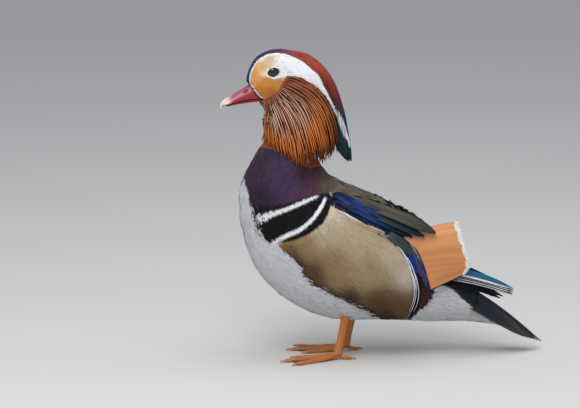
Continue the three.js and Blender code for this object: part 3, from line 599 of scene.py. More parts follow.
# The flank's tan runs to dark brown towards its lower edge: partly its own colour, partly painted shade where it turns
# under
FLANK_SPOTS = [
    ((335, 212), 12, (198, 186, 164)),
    ((325, 233), 14, (182, 167, 142)),
    ((356, 244), 18, (180, 163, 132)),
    ((335, 262), 16, (148, 122, 84)),
    ((304, 244), 12, (148, 122, 86)),
    ((293, 254), 10, (112, 86, 56)),
    ((314, 272), 12, (86, 62, 38)),
    ((367, 272), 18, (164, 142, 106)),
    ((392, 254), 14, (188, 174, 148)),
    ((404, 275), 9, (196, 186, 170)),
    ((377, 300), 13, (82, 58, 31)),
    ((350, 297), 10, (60, 40, 22)),
    ((398, 305), 10, (98, 72, 42)),
    ((386, 316), 10, (46, 30, 16)),
]
TAIL_SIDE = [(446, 283), (455, 292), (463, 300), (478, 311.5), (490, 320.5), (512, 331), (560, 350)]
TAIL_SIDE += [(560, 300), (500, 262), (470, 256), (440, 262)]
BACK_SPOTS = [
    ((330, 180), 14, (96, 86, 74)),
    ((360, 192), 16, (96, 88, 76)),
    ((385, 202), 16, (92, 88, 78)),
    ((410, 215), 16, (66, 68, 62)),
    ((440, 240), 30, (36, 40, 42)),
    ((480, 255), 30, (28, 34, 40)),
]
STRIPE_COLOURS = [(40, 58, 92), (44, 52, 100), (46, 44, 96), (60, 42, 84), (134, 54, 50), (142, 56, 42), (132, 52, 38)]
STRIPE_COLOURS += [(108, 42, 36), (82, 32, 36), (24, 42, 62), (14, 46, 66), (10, 40, 56)]
STRIPE_TOP = [(42, 58, 96), (46, 50, 100), (50, 42, 92), (72, 44, 80), (146, 62, 52), (156, 68, 44), (142, 58, 38)]
STRIPE_TOP += [(118, 48, 36), (90, 36, 36), (22, 44, 64), (14, 50, 70), (8, 36, 50)]


def blended(seen, spots, spread=0.15):
    """A soft mix of colours round named places."""
    total = np.zeros((len(seen), 3))
    weights = np.zeros((len(seen), 1))
    for place, reach, colour in spots:
        gap = ((seen - np.array(place)) ** 2).sum(1, keepdims=True) / reach**2
        weight = 1 / (spread + gap) ** 2
        total += weight * linear(colour)
        weights += weight
    return total / weights


def bar(seen, line):
    """How strongly a bar covers places, from its middle line and half-width."""
    gap, share = away(seen, line)
    half = along([[p[2]] for p in line], share)[:, 0]
    return 1 - smooth(half - 0.35, half + 0.35, gap)


def over(base, colour, cover):
    return base + (np.asarray(colour) - base) * np.asarray(cover, float)[:, None]


def markings(points, jitter=None):
    """The plumage's colour at places on the bird, as light."""
    seen = side_view(points)
    if jitter is not None:
        ragged = 0.3 + 1.5 * smooth(286, 258, seen[:, 0]) * smooth(195, 210, seen[:, 1])
        low, _ = away(seen, FLANK_LOW)
        ragged = ragged + 1.0 * (1 - smooth(2, 9, low))
        seen = seen + jitter * ragged[:, None]
    u, v = seen[:, 0], seen[:, 1]
    colour = np.repeat(linear(BELLY)[None], len(points), 0)
    colour = over(colour, linear((196, 190, 180)), smooth(440, 500, u) * 0.6)
    colour = over(colour, blended(seen, BACK_SPOTS), inside(seen, BACK))
    colour = over(colour, blended(seen, PURPLE_SPOTS, 0.5), inside(seen, PURPLE))
    colour = over(colour, linear(BLACK), inside(seen, BARS))
    colour = over(colour, linear(WHITE), bar(seen, FIRST_BAR))
    colour = over(colour, linear(WHITE), bar(seen, SECOND_BAR))
    flank = inside(seen, FLANK)
    # The flank darkens towards its lower edge, darkest along it: partly its own brown, partly painted shade where the
    # flank turns under towards the belly
    shade = blended(seen, FLANK_SPOTS, 0.6)
    low, at = away(seen, FLANK_LOW)
    shade = over(shade, linear((44, 30, 18)), (1 - smooth(0.5, 8, low)) * (0.85 - 0.5 * smooth(0.75, 1, at)))
    colour = over(colour, shade, flank)
    beside = inside(seen, BESIDE_SAIL)
    colour = over(colour, linear(BLACK), beside)
    colour = over(colour, linear((222, 226, 232)), bar(seen, FLANK_RIM) * 0.9)
    colour = over(colour, linear((70, 80, 76)), inside(seen, COVERTS))
    colour = over(colour, linear((22, 40, 96)), inside(seen, MIRROR))
    colour = over(colour, linear((76, 72, 124)), inside(seen, LILAC))
    colour = over(colour, linear((58, 22, 16)), inside(seen, CHESTNUT))
    ruff = inside(seen, RUFF)
    rust = linear((150, 78, 40))
    # Towards the rear of the ruff, away from its upper edge and above its lower part, the rust turns dark maroon:
    # painted shade under the hackles
    upper, _ = away(seen, RUFF_TOP)
    depth = smooth(264, 278, u) * smooth(1.0, 8.0, upper) * smooth(150, 136, v)
    colour = over(colour, rust + (linear((46, 20, 16)) - rust) * depth[:, None], ruff)
    side = inside(seen, TAIL_SIDE)
    colour = over(colour, linear((24, 36, 46)), side)
    colour = over(colour, linear((110, 84, 74)), inside(seen, CHIN))
    head = (v < 104) & ~ruff & (u < 345) & ((u < 300) | (v < 92))
    colour = over(colour, blended(seen, FACE_SPOTS), head)
    colour = over(colour, linear(WHITE), inside(seen, BAND))
    colour = over(colour, linear((16, 46, 52)), inside(seen, TEAL_NAPE))
    colour = over(colour, linear(WHITE), inside(seen, EYE_RING))
    line, part = away(seen, STRIPE_LOW)
    stripe = inside(seen, STRIPE) & (points[:, 2] > 166)
    crown = along([linear(c) for c in STRIPE_COLOURS], part)
    crown = over(crown, along([linear(c) for c in STRIPE_TOP], part), smooth(2.2, 5.5, line))
    colour = over(colour, crown, stripe)
    colour = over(colour, linear(WHITE), ~stripe & (line < 1.5) & (part < 0.4) & (v < 84))
    streak, _ = away(seen, THIN_STREAK)
    colour = over(colour, linear(WHITE), (streak < 0.8) & (points[:, 2] > 175))
    base, _ = away(seen, BILL_EDGE)
    colour = over(colour, linear(WHITE), (base < 2.3) & (v > 84.5) & (v < 100))
    return over(colour, linear((20, 14, 16)), (base < 1.0) | (inside(seen, BILL_SEAT) & (points[:, 0] > 70)))


def rgba(colours):
    return np.concatenate([colours, np.ones((*colours.shape[:-1], 1))], -1)


# Meshes
def finished(name, points, quads, triangles, colours, vane, unwrapped, material):
    """One piece from corners in millimetres, faces, and what its corners carry."""
    mesh = bpy.data.meshes.new(name)
    quads = np.asarray(quads, int).reshape(-1, 4)
    triangles = np.asarray(triangles, int).reshape(-1, 3)
    corners = np.concatenate([quads.ravel(), triangles.ravel()])
    starts = np.concatenate([np.arange(len(quads)) * 4, len(quads) * 4 + np.arange(len(triangles)) * 3])
    mesh.vertices.add(len(points))
    mesh.vertices.foreach_set("co", ((points + SHIFT) * MM).astype(np.float32).ravel())
    mesh.loops.add(len(corners))
    mesh.loops.foreach_set("vertex_index", corners.astype(np.int32))
    mesh.polygons.add(len(starts))
    mesh.polygons.foreach_set("loop_start", starts.astype(np.int32))
    mesh.update(calc_edges=True)
    layer = mesh.color_attributes.new("Plumage", "FLOAT_COLOR", "POINT")
    layer.data.foreach_set("color", rgba(colours).astype(np.float32).ravel())
    web = mesh.attributes.new("vane", "FLOAT_VECTOR", "POINT")
    web.data.foreach_set("vector", vane.astype(np.float32).ravel())
    uv = mesh.uv_layers.new(name="OFBake")
    flat = unwrapped[corners]
    torn = np.ptp(flat[: len(quads) * 4, 1].reshape(-1, 4), axis=1) > 0.5 if len(quads) else []
    if np.any(torn):
        part = flat[: len(quads) * 4].reshape(-1, 4, 2)
        low = torn[:, None] & (part[..., 1] < 0.5)
        part[..., 1] = np.where(low, 0.995, part[..., 1])
        flat[: len(quads) * 4] = part.reshape(-1, 2)
    uv.data.foreach_set("uv", flat.astype(np.float32).ravel())
    mesh.shade_smooth()
    mesh.set_sharp_from_angle(angle=math.radians(55))
    mesh.validate()
    mesh.materials.append(material)
    made = bpy.data.objects.new(name, mesh)
    bpy.context.scene.collection.objects.link(made)
    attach(made, "root")
    return made


# How a feather's half-width changes from root to tip, as shares of its widest
SHAPES = {
    "small": [0.35, 0.85, 1.0, 0.85, 0.3],
    "hair": [0.5, 0.9, 1.0, 0.75, 0.08],
    "long": [0.45, 0.8, 0.95, 1.0, 0.95, 0.85, 0.6, 0.1],
    "blade": [0.5, 0.85, 1.0, 1.0, 1.0, 1.0, 0.96, 0.9, 0.72, 0.2],
    "hackle": [0.35, 0.6, 0.85, 1.0, 1.0, 0.95, 0.85, 0.65, 0.4, 0.06],
}


def lines_on_skin(roots, length, steps, swing=0.08, stick=2.5):
    """Lines that follow the lie of the plumage over the skin, from their roots."""
    spots, normals, _ = skin.nearest(roots)
    turn = RANDOM.normal(0, swing, len(roots))
    path, outs = [spots], [normals]
    for _ in range(steps - 1):
        ahead = lie_at(spots, normals)
        across = np.cross(normals, ahead)
        ahead = unit(ahead + across * turn[:, None])
        moved = spots + ahead * (length / (steps - 1))[:, None]
        found, facing, gap = skin.nearest(moved)
        free = gap > stick
        spots = np.where(free[:, None], moved, found)
        normals = np.where(free[:, None], normals, facing)
        path.append(spots)
        outs.append(normals)
    return np.stack(path, 1), np.stack(outs, 1)


def feathers(path, normals, width, shape, lift, tip_lift, thick, roll=0.0):
    """Three-sided feathers along lines: corners (feather, station, left ridge right)."""
    shares = np.linspace(0, 1, path.shape[1])
    profile = np.interp(shares, np.linspace(0, 1, len(SHAPES[shape])), SHAPES[shape])
    ahead = unit(np.gradient(path, axis=1))
    across = unit(np.cross(ahead, normals))
    rise = -0.35 + (lift + 0.35) * np.minimum(1, shares / 0.3) + tip_lift * shares**1.5
    height = np.asarray(rise)[None, :] + np.zeros((len(path), 1))
    half = np.asarray(width)[:, None] * profile[None, :]
    middle = path + normals * (height + thick * (1 - 0.6 * shares)[None, :])[..., None]
    turn = np.asarray(roll) * half
    left = path - across * half[..., None] + normals * (height + turn)[..., None]
    right = path + across * half[..., None] + normals * (height - turn)[..., None]
    return np.stack([left, middle, right], 2)


def feather_faces(count, stations):
    """Faces of three-sided feathers, four-sided along them and three-sided at their ends."""
    base = np.arange(count)[:, None] * stations * 3
    rows = np.arange(stations - 1)[None, :] * 3
    start = (base + rows)[..., None]
    pattern = np.array([[0, 1, 4, 3], [1, 2, 5, 4], [2, 0, 3, 5]])
    quads = (start[..., None] + pattern[None, None]).reshape(-1, 4)
    last = base + (stations - 1) * 3
    ends = np.concatenate([base + np.array([[0, 2, 1]]), last + np.array([[0, 1, 2]])])
    return quads, ends.reshape(-1, 3)


def coat(name, corners, colours, lengths, widths, material, replaces=()):
    """A coat piece from feathers' corners and colours."""
    count, stations = corners.shape[:2]
    quads, ends = feather_faces(count, stations)
    side = np.array([-1.0, 0.0, 1.0])
    shares = np.linspace(0, 1, stations)
    u = np.broadcast_to(side[None, None, :] * widths[:, None, None], (count, stations, 3))
    v = np.broadcast_to(shares[None, :, None] * lengths[:, None, None], (count, stations, 3))
    chance = np.broadcast_to(RANDOM.rand(count)[:, None, None], (count, stations, 3))
    vane = np.stack([u, v, chance], -1).reshape(-1, 3)
    roots = unwrap(corners[:, 0, 1])
    local = np.stack(
        [
            np.broadcast_to(shares[None, :, None] * PATCH, (count, stations, 3)),
            np.broadcast_to(side[None, None, :] * PATCH / 2, (count, stations, 3)),
        ],
        -1,
    )
    flat = np.clip((roots[:, None, None] + local).reshape(-1, 2), 0, 1)
    made = finished(
        name, corners.reshape(-1, 3), quads, ends, colours.reshape(-1, 3), vane, flat, material
    )
    if replaces:
        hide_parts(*replaces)
    return made


# Materials
def add(tree, kind, **values):
    node = tree.nodes.new(kind)
    for key, value in values.items():
        setattr(node, key, value)
    return node


def plumage_material(name, rough, barb=0.8, relief=0.25, speckle=0.12, waves=0.0):
    """Feather webs: the carried colour, fine barbs slanting from the shaft, and fine dark waves where asked."""
    made = bpy.data.materials.new(name)
    made.use_nodes = True
    tree = made.node_tree
    shader = tree.nodes["Principled BSDF"]
    colour = add(tree, "ShaderNodeAttribute", attribute_name="Plumage")
    web = add(tree, "ShaderNodeAttribute", attribute_name="vane")
    parts = add(tree, "ShaderNodeSeparateXYZ")
    tree.links.new(web.outputs["Vector"], parts.inputs[0])
    across = add(tree, "ShaderNodeMath", operation="ABSOLUTE")
    tree.links.new(parts.outputs["X"], across.inputs[0])
    slant = add(tree, "ShaderNodeMath", operation="MULTIPLY_ADD")
    tree.links.new(across.outputs[0], slant.inputs[0])
    slant.inputs[1].default_value = 0.9
    tree.links.new(parts.outputs["Y"], slant.inputs[2])
    rows = add(tree, "ShaderNodeMath", operation="MULTIPLY")
    tree.links.new(slant.outputs[0], rows.inputs[0])
    rows.inputs[1].default_value = 2 * math.pi / barb
    ripple = add(tree, "ShaderNodeMath", operation="SINE")
    tree.links.new(rows.outputs[0], ripple.inputs[0])
    place = add(tree, "ShaderNodeTexCoord")
    noise = add(tree, "ShaderNodeTexNoise")
    noise.inputs["Scale"].default_value = 900.0
    noise.inputs["Detail"].default_value = 3.0
    tree.links.new(place.outputs["Object"], noise.inputs["Vector"])
    mixed = colour.outputs["Color"]

    def mix(base, top, cover, kind="MIX"):
        node = add(tree, "ShaderNodeMix", data_type="RGBA", blend_type=kind)
        tree.links.new(base, node.inputs["A"])
        if isinstance(top, tuple):
            node.inputs["B"].default_value = (*linear(top), 1)
        else:
            tree.links.new(top, node.inputs["B"])
        tree.links.new(cover, node.inputs["Factor"])
        return node.outputs["Result"]

    def ramp(value, low, high, top):
        node = add(tree, "ShaderNodeMapRange")
        tree.links.new(value, node.inputs["Value"])
        node.inputs["From Min"].default_value = low
        node.inputs["From Max"].default_value = high
        node.inputs["To Max"].default_value = top
        return node.outputs["Result"]

    if waves:
        wave = add(tree, "ShaderNodeTexWave", wave_type="BANDS", bands_direction="DIAGONAL")
        wave.inputs["Scale"].default_value = 330.0
        wave.inputs["Distortion"].default_value = 9.0
        wave.inputs["Detail"].default_value = 3.0
        wave.inputs["Detail Scale"].default_value = 1.6
        tree.links.new(place.outputs["Object"], wave.inputs["Vector"])
        mixed = mix(mixed, (58, 40, 22), ramp(wave.outputs["Fac"], 0.45, 0.95, waves))
    darker = mix(mixed, (20, 18, 20), ramp(noise.outputs["Fac"], 0.45, 0.8, speckle))
    lined = mix(darker, (24, 22, 24), ramp(ripple.outputs[0], 0.2, 1.0, speckle))
    tree.links.new(lined, shader.inputs["Base Color"])
    bump = add(tree, "ShaderNodeBump")
    bump.inputs["Strength"].default_value = relief
    bump.inputs["Distance"].default_value = 0.0002
    tree.links.new(ripple.outputs[0], bump.inputs["Height"])
    tree.links.new(bump.outputs[0], shader.inputs["Normal"])
    shader.inputs["Roughness"].default_value = rough
    shader.inputs["Specular IOR Level"].default_value = 0.18
    return made


def horn_material(name, rough, coat_weight, scale, relief, speckle):
    """Bill, legs, eyes: the carried colour with pores and a thin gloss."""
    made = bpy.data.materials.new(name)
    made.use_nodes = True
    tree = made.node_tree
    shader = tree.nodes["Principled BSDF"]
    colour = add(tree, "ShaderNodeAttribute", attribute_name="Plumage")
    place = add(tree, "ShaderNodeTexCoord")
    noise = add(tree, "ShaderNodeTexNoise")
    noise.inputs["Scale"].default_value = scale
    noise.inputs["Detail"].default_value = 4.0
    tree.links.new(place.outputs["Object"], noise.inputs["Vector"])
    amount = add(tree, "ShaderNodeMapRange")
    amount.inputs["From Min"].default_value = 0.4
    amount.inputs["From Max"].default_value = 0.75
    amount.inputs["To Max"].default_value = speckle
    tree.links.new(noise.outputs["Fac"], amount.inputs["Value"])
    mixed = add(tree, "ShaderNodeMix", data_type="RGBA", blend_type="MULTIPLY")
    tree.links.new(colour.outputs["Color"], mixed.inputs["A"])
    mixed.inputs["B"].default_value = (0.35, 0.3, 0.3, 1)
    tree.links.new(amount.outputs["Result"], mixed.inputs["Factor"])
    tree.links.new(mixed.outputs["Result"], shader.inputs["Base Color"])
    bump = add(tree, "ShaderNodeBump")
    bump.inputs["Strength"].default_value = relief
    bump.inputs["Distance"].default_value = 0.0003
    tree.links.new(noise.outputs["Fac"], bump.inputs["Height"])
    tree.links.new(bump.outputs[0], shader.inputs["Normal"])
    shader.inputs["Roughness"].default_value = rough
    shader.inputs["Coat Weight"].default_value = coat_weight
    shader.inputs["Coat Roughness"].default_value = 0.15
    return made


SOFT = plumage_material("soft_plumage", 0.8, speckle=0.08)
GLOSSY = plumage_material("glossy_plumage", 0.5, speckle=0.1)
FLANK_WEB = plumage_material("flank_plumage", 0.62, speckle=0.08, waves=0.3)
HACKLE = plumage_material("hackle_plumage", 0.5, barb=0.5, speckle=0.05, relief=0.12)
VANE = plumage_material("vane_plumage", 0.45, barb=1.1, relief=0.4, speckle=0.12)
SAIL = plumage_material("sail_plumage", 0.7, barb=1.3, relief=0.12, speckle=0.025)
BILL_HORN = horn_material("bill_horn", 0.4, 0.25, 500.0, 0.12, 0.25)
LEG_HORN = horn_material("leg_horn", 0.5, 0.1, 420.0, 0.4, 0.35)
EYE_GLASS = horn_material("eye_surface", 0.12, 0.3, 200.0, 0.0, 0.1)

# The skin: the markings darkened to 0.72 as painted shade under the coat
skin_colour = markings(skin.points) * 0.72
skin_piece = finished(
    "skin",
    skin.points,
    skin.faces,
    [],
    skin_colour,
    np.zeros_like(skin.points),
    unwrap(skin.points),
    SOFT,
)
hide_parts("torso", "neck", "head")

# Places all over the skin, from which each kind of feather takes its roots
CANDIDATES = 700000
corner_sets = skin.points[skin.faces]
sizes = np.linalg.norm(np.cross(corner_sets[:, 2] - corner_sets[:, 0], corner_sets[:, 3] - corner_sets[:, 1]), axis=1)
chosen = RANDOM.choice(len(sizes), CANDIDATES, p=sizes / sizes.sum())
a, b = RANDOM.rand(2, CANDIDATES, 1)
quads_at = corner_sets[chosen]
anywhere = (quads_at[:, 0] * (1 - a) + quads_at[:, 1] * a) * (1 - b) + (quads_at[:, 3] * (1 - a) + quads_at[:, 2] * a) * b
anywhere_seen = side_view(anywhere)
socket = inside(anywhere_seen, EYE_OPENING) & (anywhere[:, 0] > 60) & (anywhere[:, 2] > 250)


def roots_in(held, spacing):
    """Evenly spread roots among the held places."""
    index = np.flatnonzero(held & ~socket)
    cells = np.floor(anywhere[index] / spacing).astype(int)
    _, first = np.unique(cells, axis=0, return_index=True)
    return anywhere[index[first]]


def dress(name, held, spacing, length, width, material, steps=5, shape="small", lift=0.35, tip=0.35, thick=0.22,
          swing=0.1, replaces=(), vary=0.06, stick=2.5):
    """A coat of feathers of one kind over part of the skin."""
    roots = roots_in(held, spacing)
    lengths = length * (0.85 + 0.3 * RANDOM.rand(len(roots)))
    widths = width * (0.85 + 0.3 * RANDOM.rand(len(roots)))
    path, normals = lines_on_skin(roots, lengths, steps, swing, stick)
    roll = RANDOM.normal(0, 0.12, len(roots))[:, None]
    corners = feathers(path, normals, widths, shape, lift, tip, thick, roll)
    jitter = np.repeat(RANDOM.normal(0, 1, (len(roots), 1, 2)), steps * 3, 1).reshape(-1, 2)
    colours = markings(corners.reshape(-1, 3), jitter).reshape(*corners.shape)
    bright = 1 + RANDOM.normal(0, vary, (len(roots), 1, 1, 1))
    # Each feather runs from 0.86 at its root, painted shade where the feathers before it lie over it, to a little
    # lighter at its open tip
    ends = np.linspace(0.86, 1.05, steps)[None, :, None, None]
    colours = np.clip(colours * bright * ends, 0, 1)
    print(name, len(roots), "feathers")
    return coat(name, corners, colours, lengths, widths, material, replaces)


seen_all = anywhere_seen
height = anywhere[:, 2]
in_stripe = inside(seen_all, STRIPE) & (height > 178) & (anywhere[:, 0] > -12)
in_band = inside(seen_all, BAND) | inside(seen_all, TEAL_NAPE)
in_ruff = inside(seen_all, RUFF)
in_bars = inside(seen_all, BARS)
in_flank = inside(seen_all, FLANK)
in_back = inside(seen_all, BACK) & ~in_stripe & (height < 182)
in_purple = inside(seen_all, PURPLE) & ~in_ruff & ~in_bars
in_beside = inside(seen_all, BESIDE_SAIL)
in_seat = inside(seen_all, BILL_SEAT) & (anywhere[:, 0] > 70) & (height > 232)
in_face = ~in_seat & (height > 236) & ~in_stripe & ~in_band & ~in_ruff & (seen_all[:, 0] < 300)
taken = in_seat | in_stripe | in_band | in_ruff | in_bars | in_flank | in_back | in_purple | in_beside | in_face
in_rear = ~taken & (seen_all[:, 0] > 412)
in_belly = ~taken & ~in_rear

by_rim = away(seen_all, [(330, 200), (345, 213), (362, 223), (378, 229.7), (394, 243.5)])[0] < 6
in_back &= ~(by_rim & (seen_all[:, 0] > 334))
in_flank &= np.linalg.norm(seen_all - np.array([384, 231]), axis=1) > 6.5
in_scapulars = in_back & (inside(seen_all, SCAPULARS) | (seen_all[:, 0] > 396))
on_tail = in_rear & inside(seen_all, TAIL_SIDE)
in_rear &= ~on_tail
high_ruff = (seen_all[:, 1] < 132) & (seen_all[:, 0] > 272)
on_crown = in_stripe & ((anywhere[:, 0] > 22) | (height > 262))
near_eye = np.linalg.norm(seen_all - np.array([274.5, 75.5]), axis=1) < 11
FLANK_NODES = ["flank_left", "flank_right"]
dress("coat_eye_ring", in_face & near_eye, 0.75, 2.4, 0.55, SOFT, lift=0.15, tip=0.25, thick=0.12)
dress("coat_face", in_face & ~near_eye, 0.95, 4.2, 0.8, SOFT, lift=0.2, tip=0.25, thick=0.14)
dress("coat_breast", in_purple, 1.7, 8.0, 1.5, GLOSSY, vary=0.035)
dress("coat_bars", in_bars, 1.1, 6.0, 0.85, SOFT, shape="hair", swing=0.05)
dress("coat_belly", in_belly, 1.8, 9, 1.5, SOFT, shape="hair", vary=0.04)
dress("coat_flank", in_flank, 1.8, 12, 1.35, FLANK_WEB, shape="hair", replaces=FLANK_NODES, vary=0.045,
      lift=0.2, tip=0.2)
dress("coat_back", in_back & ~in_scapulars, 2.4, 10, 2.4, VANE, lift=0.0, tip=0.05, thick=0.15)
dress("coat_under_wing", in_scapulars, 2.6, 9, 2.6, VANE, lift=0.0, tip=0.02, thick=0.12)
dress("coat_tail_side", on_tail, 2.0, 10, 2.0, VANE, lift=0.0, tip=0.0, thick=0.12)
dress("coat_beside_sail", in_beside, 1.8, 9, 1.9, VANE, lift=0.1, tip=0.1)
dress("coat_rear", in_rear, 1.9, 13, 1.4, SOFT, shape="hair", tip=0.9, swing=0.2)
dress("coat_nape", in_band, 1.5, 11, 0.8, SOFT, steps=6, shape="hair", lift=0.2, tip=0.2)
at_throat = in_ruff & (seen_all[:, 0] < 282) & (seen_all[:, 1] > 116)
dress("coat_throat", at_throat, 1.5, 5, 1.2, SOFT, lift=-0.1, tip=0.0)
dress("coat_ruff", in_ruff & high_ruff, 1.6, 8, 0.7, HACKLE, shape="hair", lift=0.0, tip=0.0, swing=0.03)
dress("coat_crown", on_crown, 1.3, 11, 0.8, GLOSSY, steps=6, shape="hair", lift=0.3, tip=0.2, swing=0.04)

# The crest's long feathers lie on a slim tapering core, swept from the crown to behind the neck
CREST_COUNT = 900
CREST_ROWS = 12
CREST_WIDTH = 1.05


def crest_place(t, angle, lift):
    """A place on the crest, from 0 at the forehead to 1 at its tip, the angle from its top line to the left."""
    values = curve(CREST, t)
    ahead = unit(curve(CREST, np.minimum(t + 0.01, 1.0))[..., :2] - curve(CREST, np.maximum(t - 0.01, 0.0))[..., :2])
    up = np.stack([ahead[..., 1], np.zeros_like(t), -ahead[..., 0]], -1)
    aside = np.array([0.0, 1.0, 0.0])
    tall = np.where(np.cos(angle) > 0, values[..., 2], values[..., 3])
    normal = unit(up * (np.cos(angle) / tall)[..., None] + aside * (np.sin(angle) / values[..., 4])[..., None])
    spot = np.stack([values[..., 0], np.zeros_like(t), values[..., 1]], -1)
    spot = spot + up * (np.cos(angle) * tall)[..., None] + aside * (np.sin(angle) * values[..., 4])[..., None]
    beyond = np.maximum(t - 1.0, 0)[..., None] * 90
    spot = spot + beyond * np.stack([ahead[..., 0], np.zeros_like(t), ahead[..., 1]], -1)
    return spot + normal * lift[..., None], normal


crest_from = np.linspace(0.16, 0.8, CREST_COUNT) + RANDOM.uniform(-0.02, 0.02, CREST_COUNT)
crest_angle = RANDOM.uniform(-2.5, 2.5, CREST_COUNT)
crest_reach = RANDOM.uniform(0.24, 0.36, CREST_COUNT)
crest_to = np.minimum(crest_from + crest_reach, RANDOM.uniform(0.86, 1.07, CREST_COUNT) - 0.02 * np.abs(crest_angle))
crest_shares = np.linspace(0, 1, CREST_ROWS)[None, :]
t = crest_from[:, None] + (crest_to - crest_from)[:, None] * crest_shares
sway = crest_angle[:, None] * (1 - 0.12 * crest_shares)
crest_lift = -2.2 + (1.3 + RANDOM.uniform(-0.1, 0.6, CREST_COUNT))[:, None] * np.minimum(1, crest_shares / 0.25)
crest_lines, crest_outs = crest_place(t, sway, crest_lift)
crest_widths = CREST_WIDTH * RANDOM.uniform(0.8, 1.2, CREST_COUNT)
corners = feathers(crest_lines, crest_outs, crest_widths, "hackle", 0.0, 0.0, 0.25)
corners += crest_outs[:, :, None, :] * 0.35
crest_jitter = np.repeat(RANDOM.normal(0, 0.6, (CREST_COUNT, 1, 2)), CREST_ROWS * 3, 1).reshape(-1, 2)
crest_colours = markings(corners.reshape(-1, 3), crest_jitter).reshape(corners.shape)
crest_colours *= 1 + RANDOM.normal(0, 0.12, (CREST_COUNT, 1, 1, 1))
crest_long = np.linalg.norm(np.diff(crest_lines, axis=1), axis=2).sum(1)
coat("crest_feathers", corners, np.clip(crest_colours, 0, 1), crest_long, crest_widths, GLOSSY, ["crest"])

# Hackles of the ruff, along lines from the cheek to the breast
HACKLE_LINES = [
    [(287, 79.5), (297, 81), (307, 85), (317, 92), (325, 102), (331, 113), (335, 126), (337, 140), (337, 152)],
    [(284, 84), (294, 87), (305, 93), (315, 103), (322, 115), (327, 130), (329, 141), (330, 150), (329, 160)],
    [(281, 89), (291, 94), (301, 102), (309, 113), (315, 127), (318, 137), (320, 147), (321, 157), (320, 166)],
    [(278, 93.5), (286, 100), (294, 109), (301, 121), (306, 136), (308, 145), (310, 153), (310, 161), (310, 169)],
    [(275, 96.5), (281, 104), (287, 114), (292, 126), (296, 140), (298, 147), (299, 154), (300, 161), (300, 168)],
    [(271, 99), (276, 107), (280, 117), (284, 129), (287, 141), (288, 147), (289, 153), (290, 158), (290, 163)],
    [(268, 101), (271, 109), (274, 119), (276, 130), (278, 140), (279, 144), (280, 148), (281, 152), (281, 156)],
    [(266, 102.5), (268.5, 110), (270, 118), (271, 126), (272, 132), (272, 138), (273, 142), (273, 146), (273, 150)],
    [(264, 104), (266, 110), (266.5, 118), (266.5, 125), (266, 131), (266, 135), (266, 139), (265.5, 142), (265, 145)],
]
HACKLE_TIERS = [
    # count, from, to, half-width, lift, painted shade (darker on the lowest tiers, which lie under the others)
    (30, 0.4, 1.0, 1.7, 0.0, 0.6),
    (28, 0.33, 1.0, 1.4, 0.6, 0.9),
    (30, 0.2, 0.92, 1.2, 1.0, 1.0),
    (26, 0.1, 0.68, 1.1, 1.4, 1.0),
    (27, 0.02, 0.46, 0.95, 1.7, 1.0),
    (25, 0.0, 0.28, 0.75, 1.9, 1.0),
]
HACKLE_SWAY = 0.9
MIDDLE_GAP = 1.2
ORANGE = linear((222, 122, 42))
ORANGE_DEEP = linear((176, 88, 32))
RUST = linear((168, 84, 36))
CREAM = linear((244, 226, 204))
MAROON = linear((40, 14, 10))
HACKLE_STEPS = 14
HACKLE_COLUMNS = 9


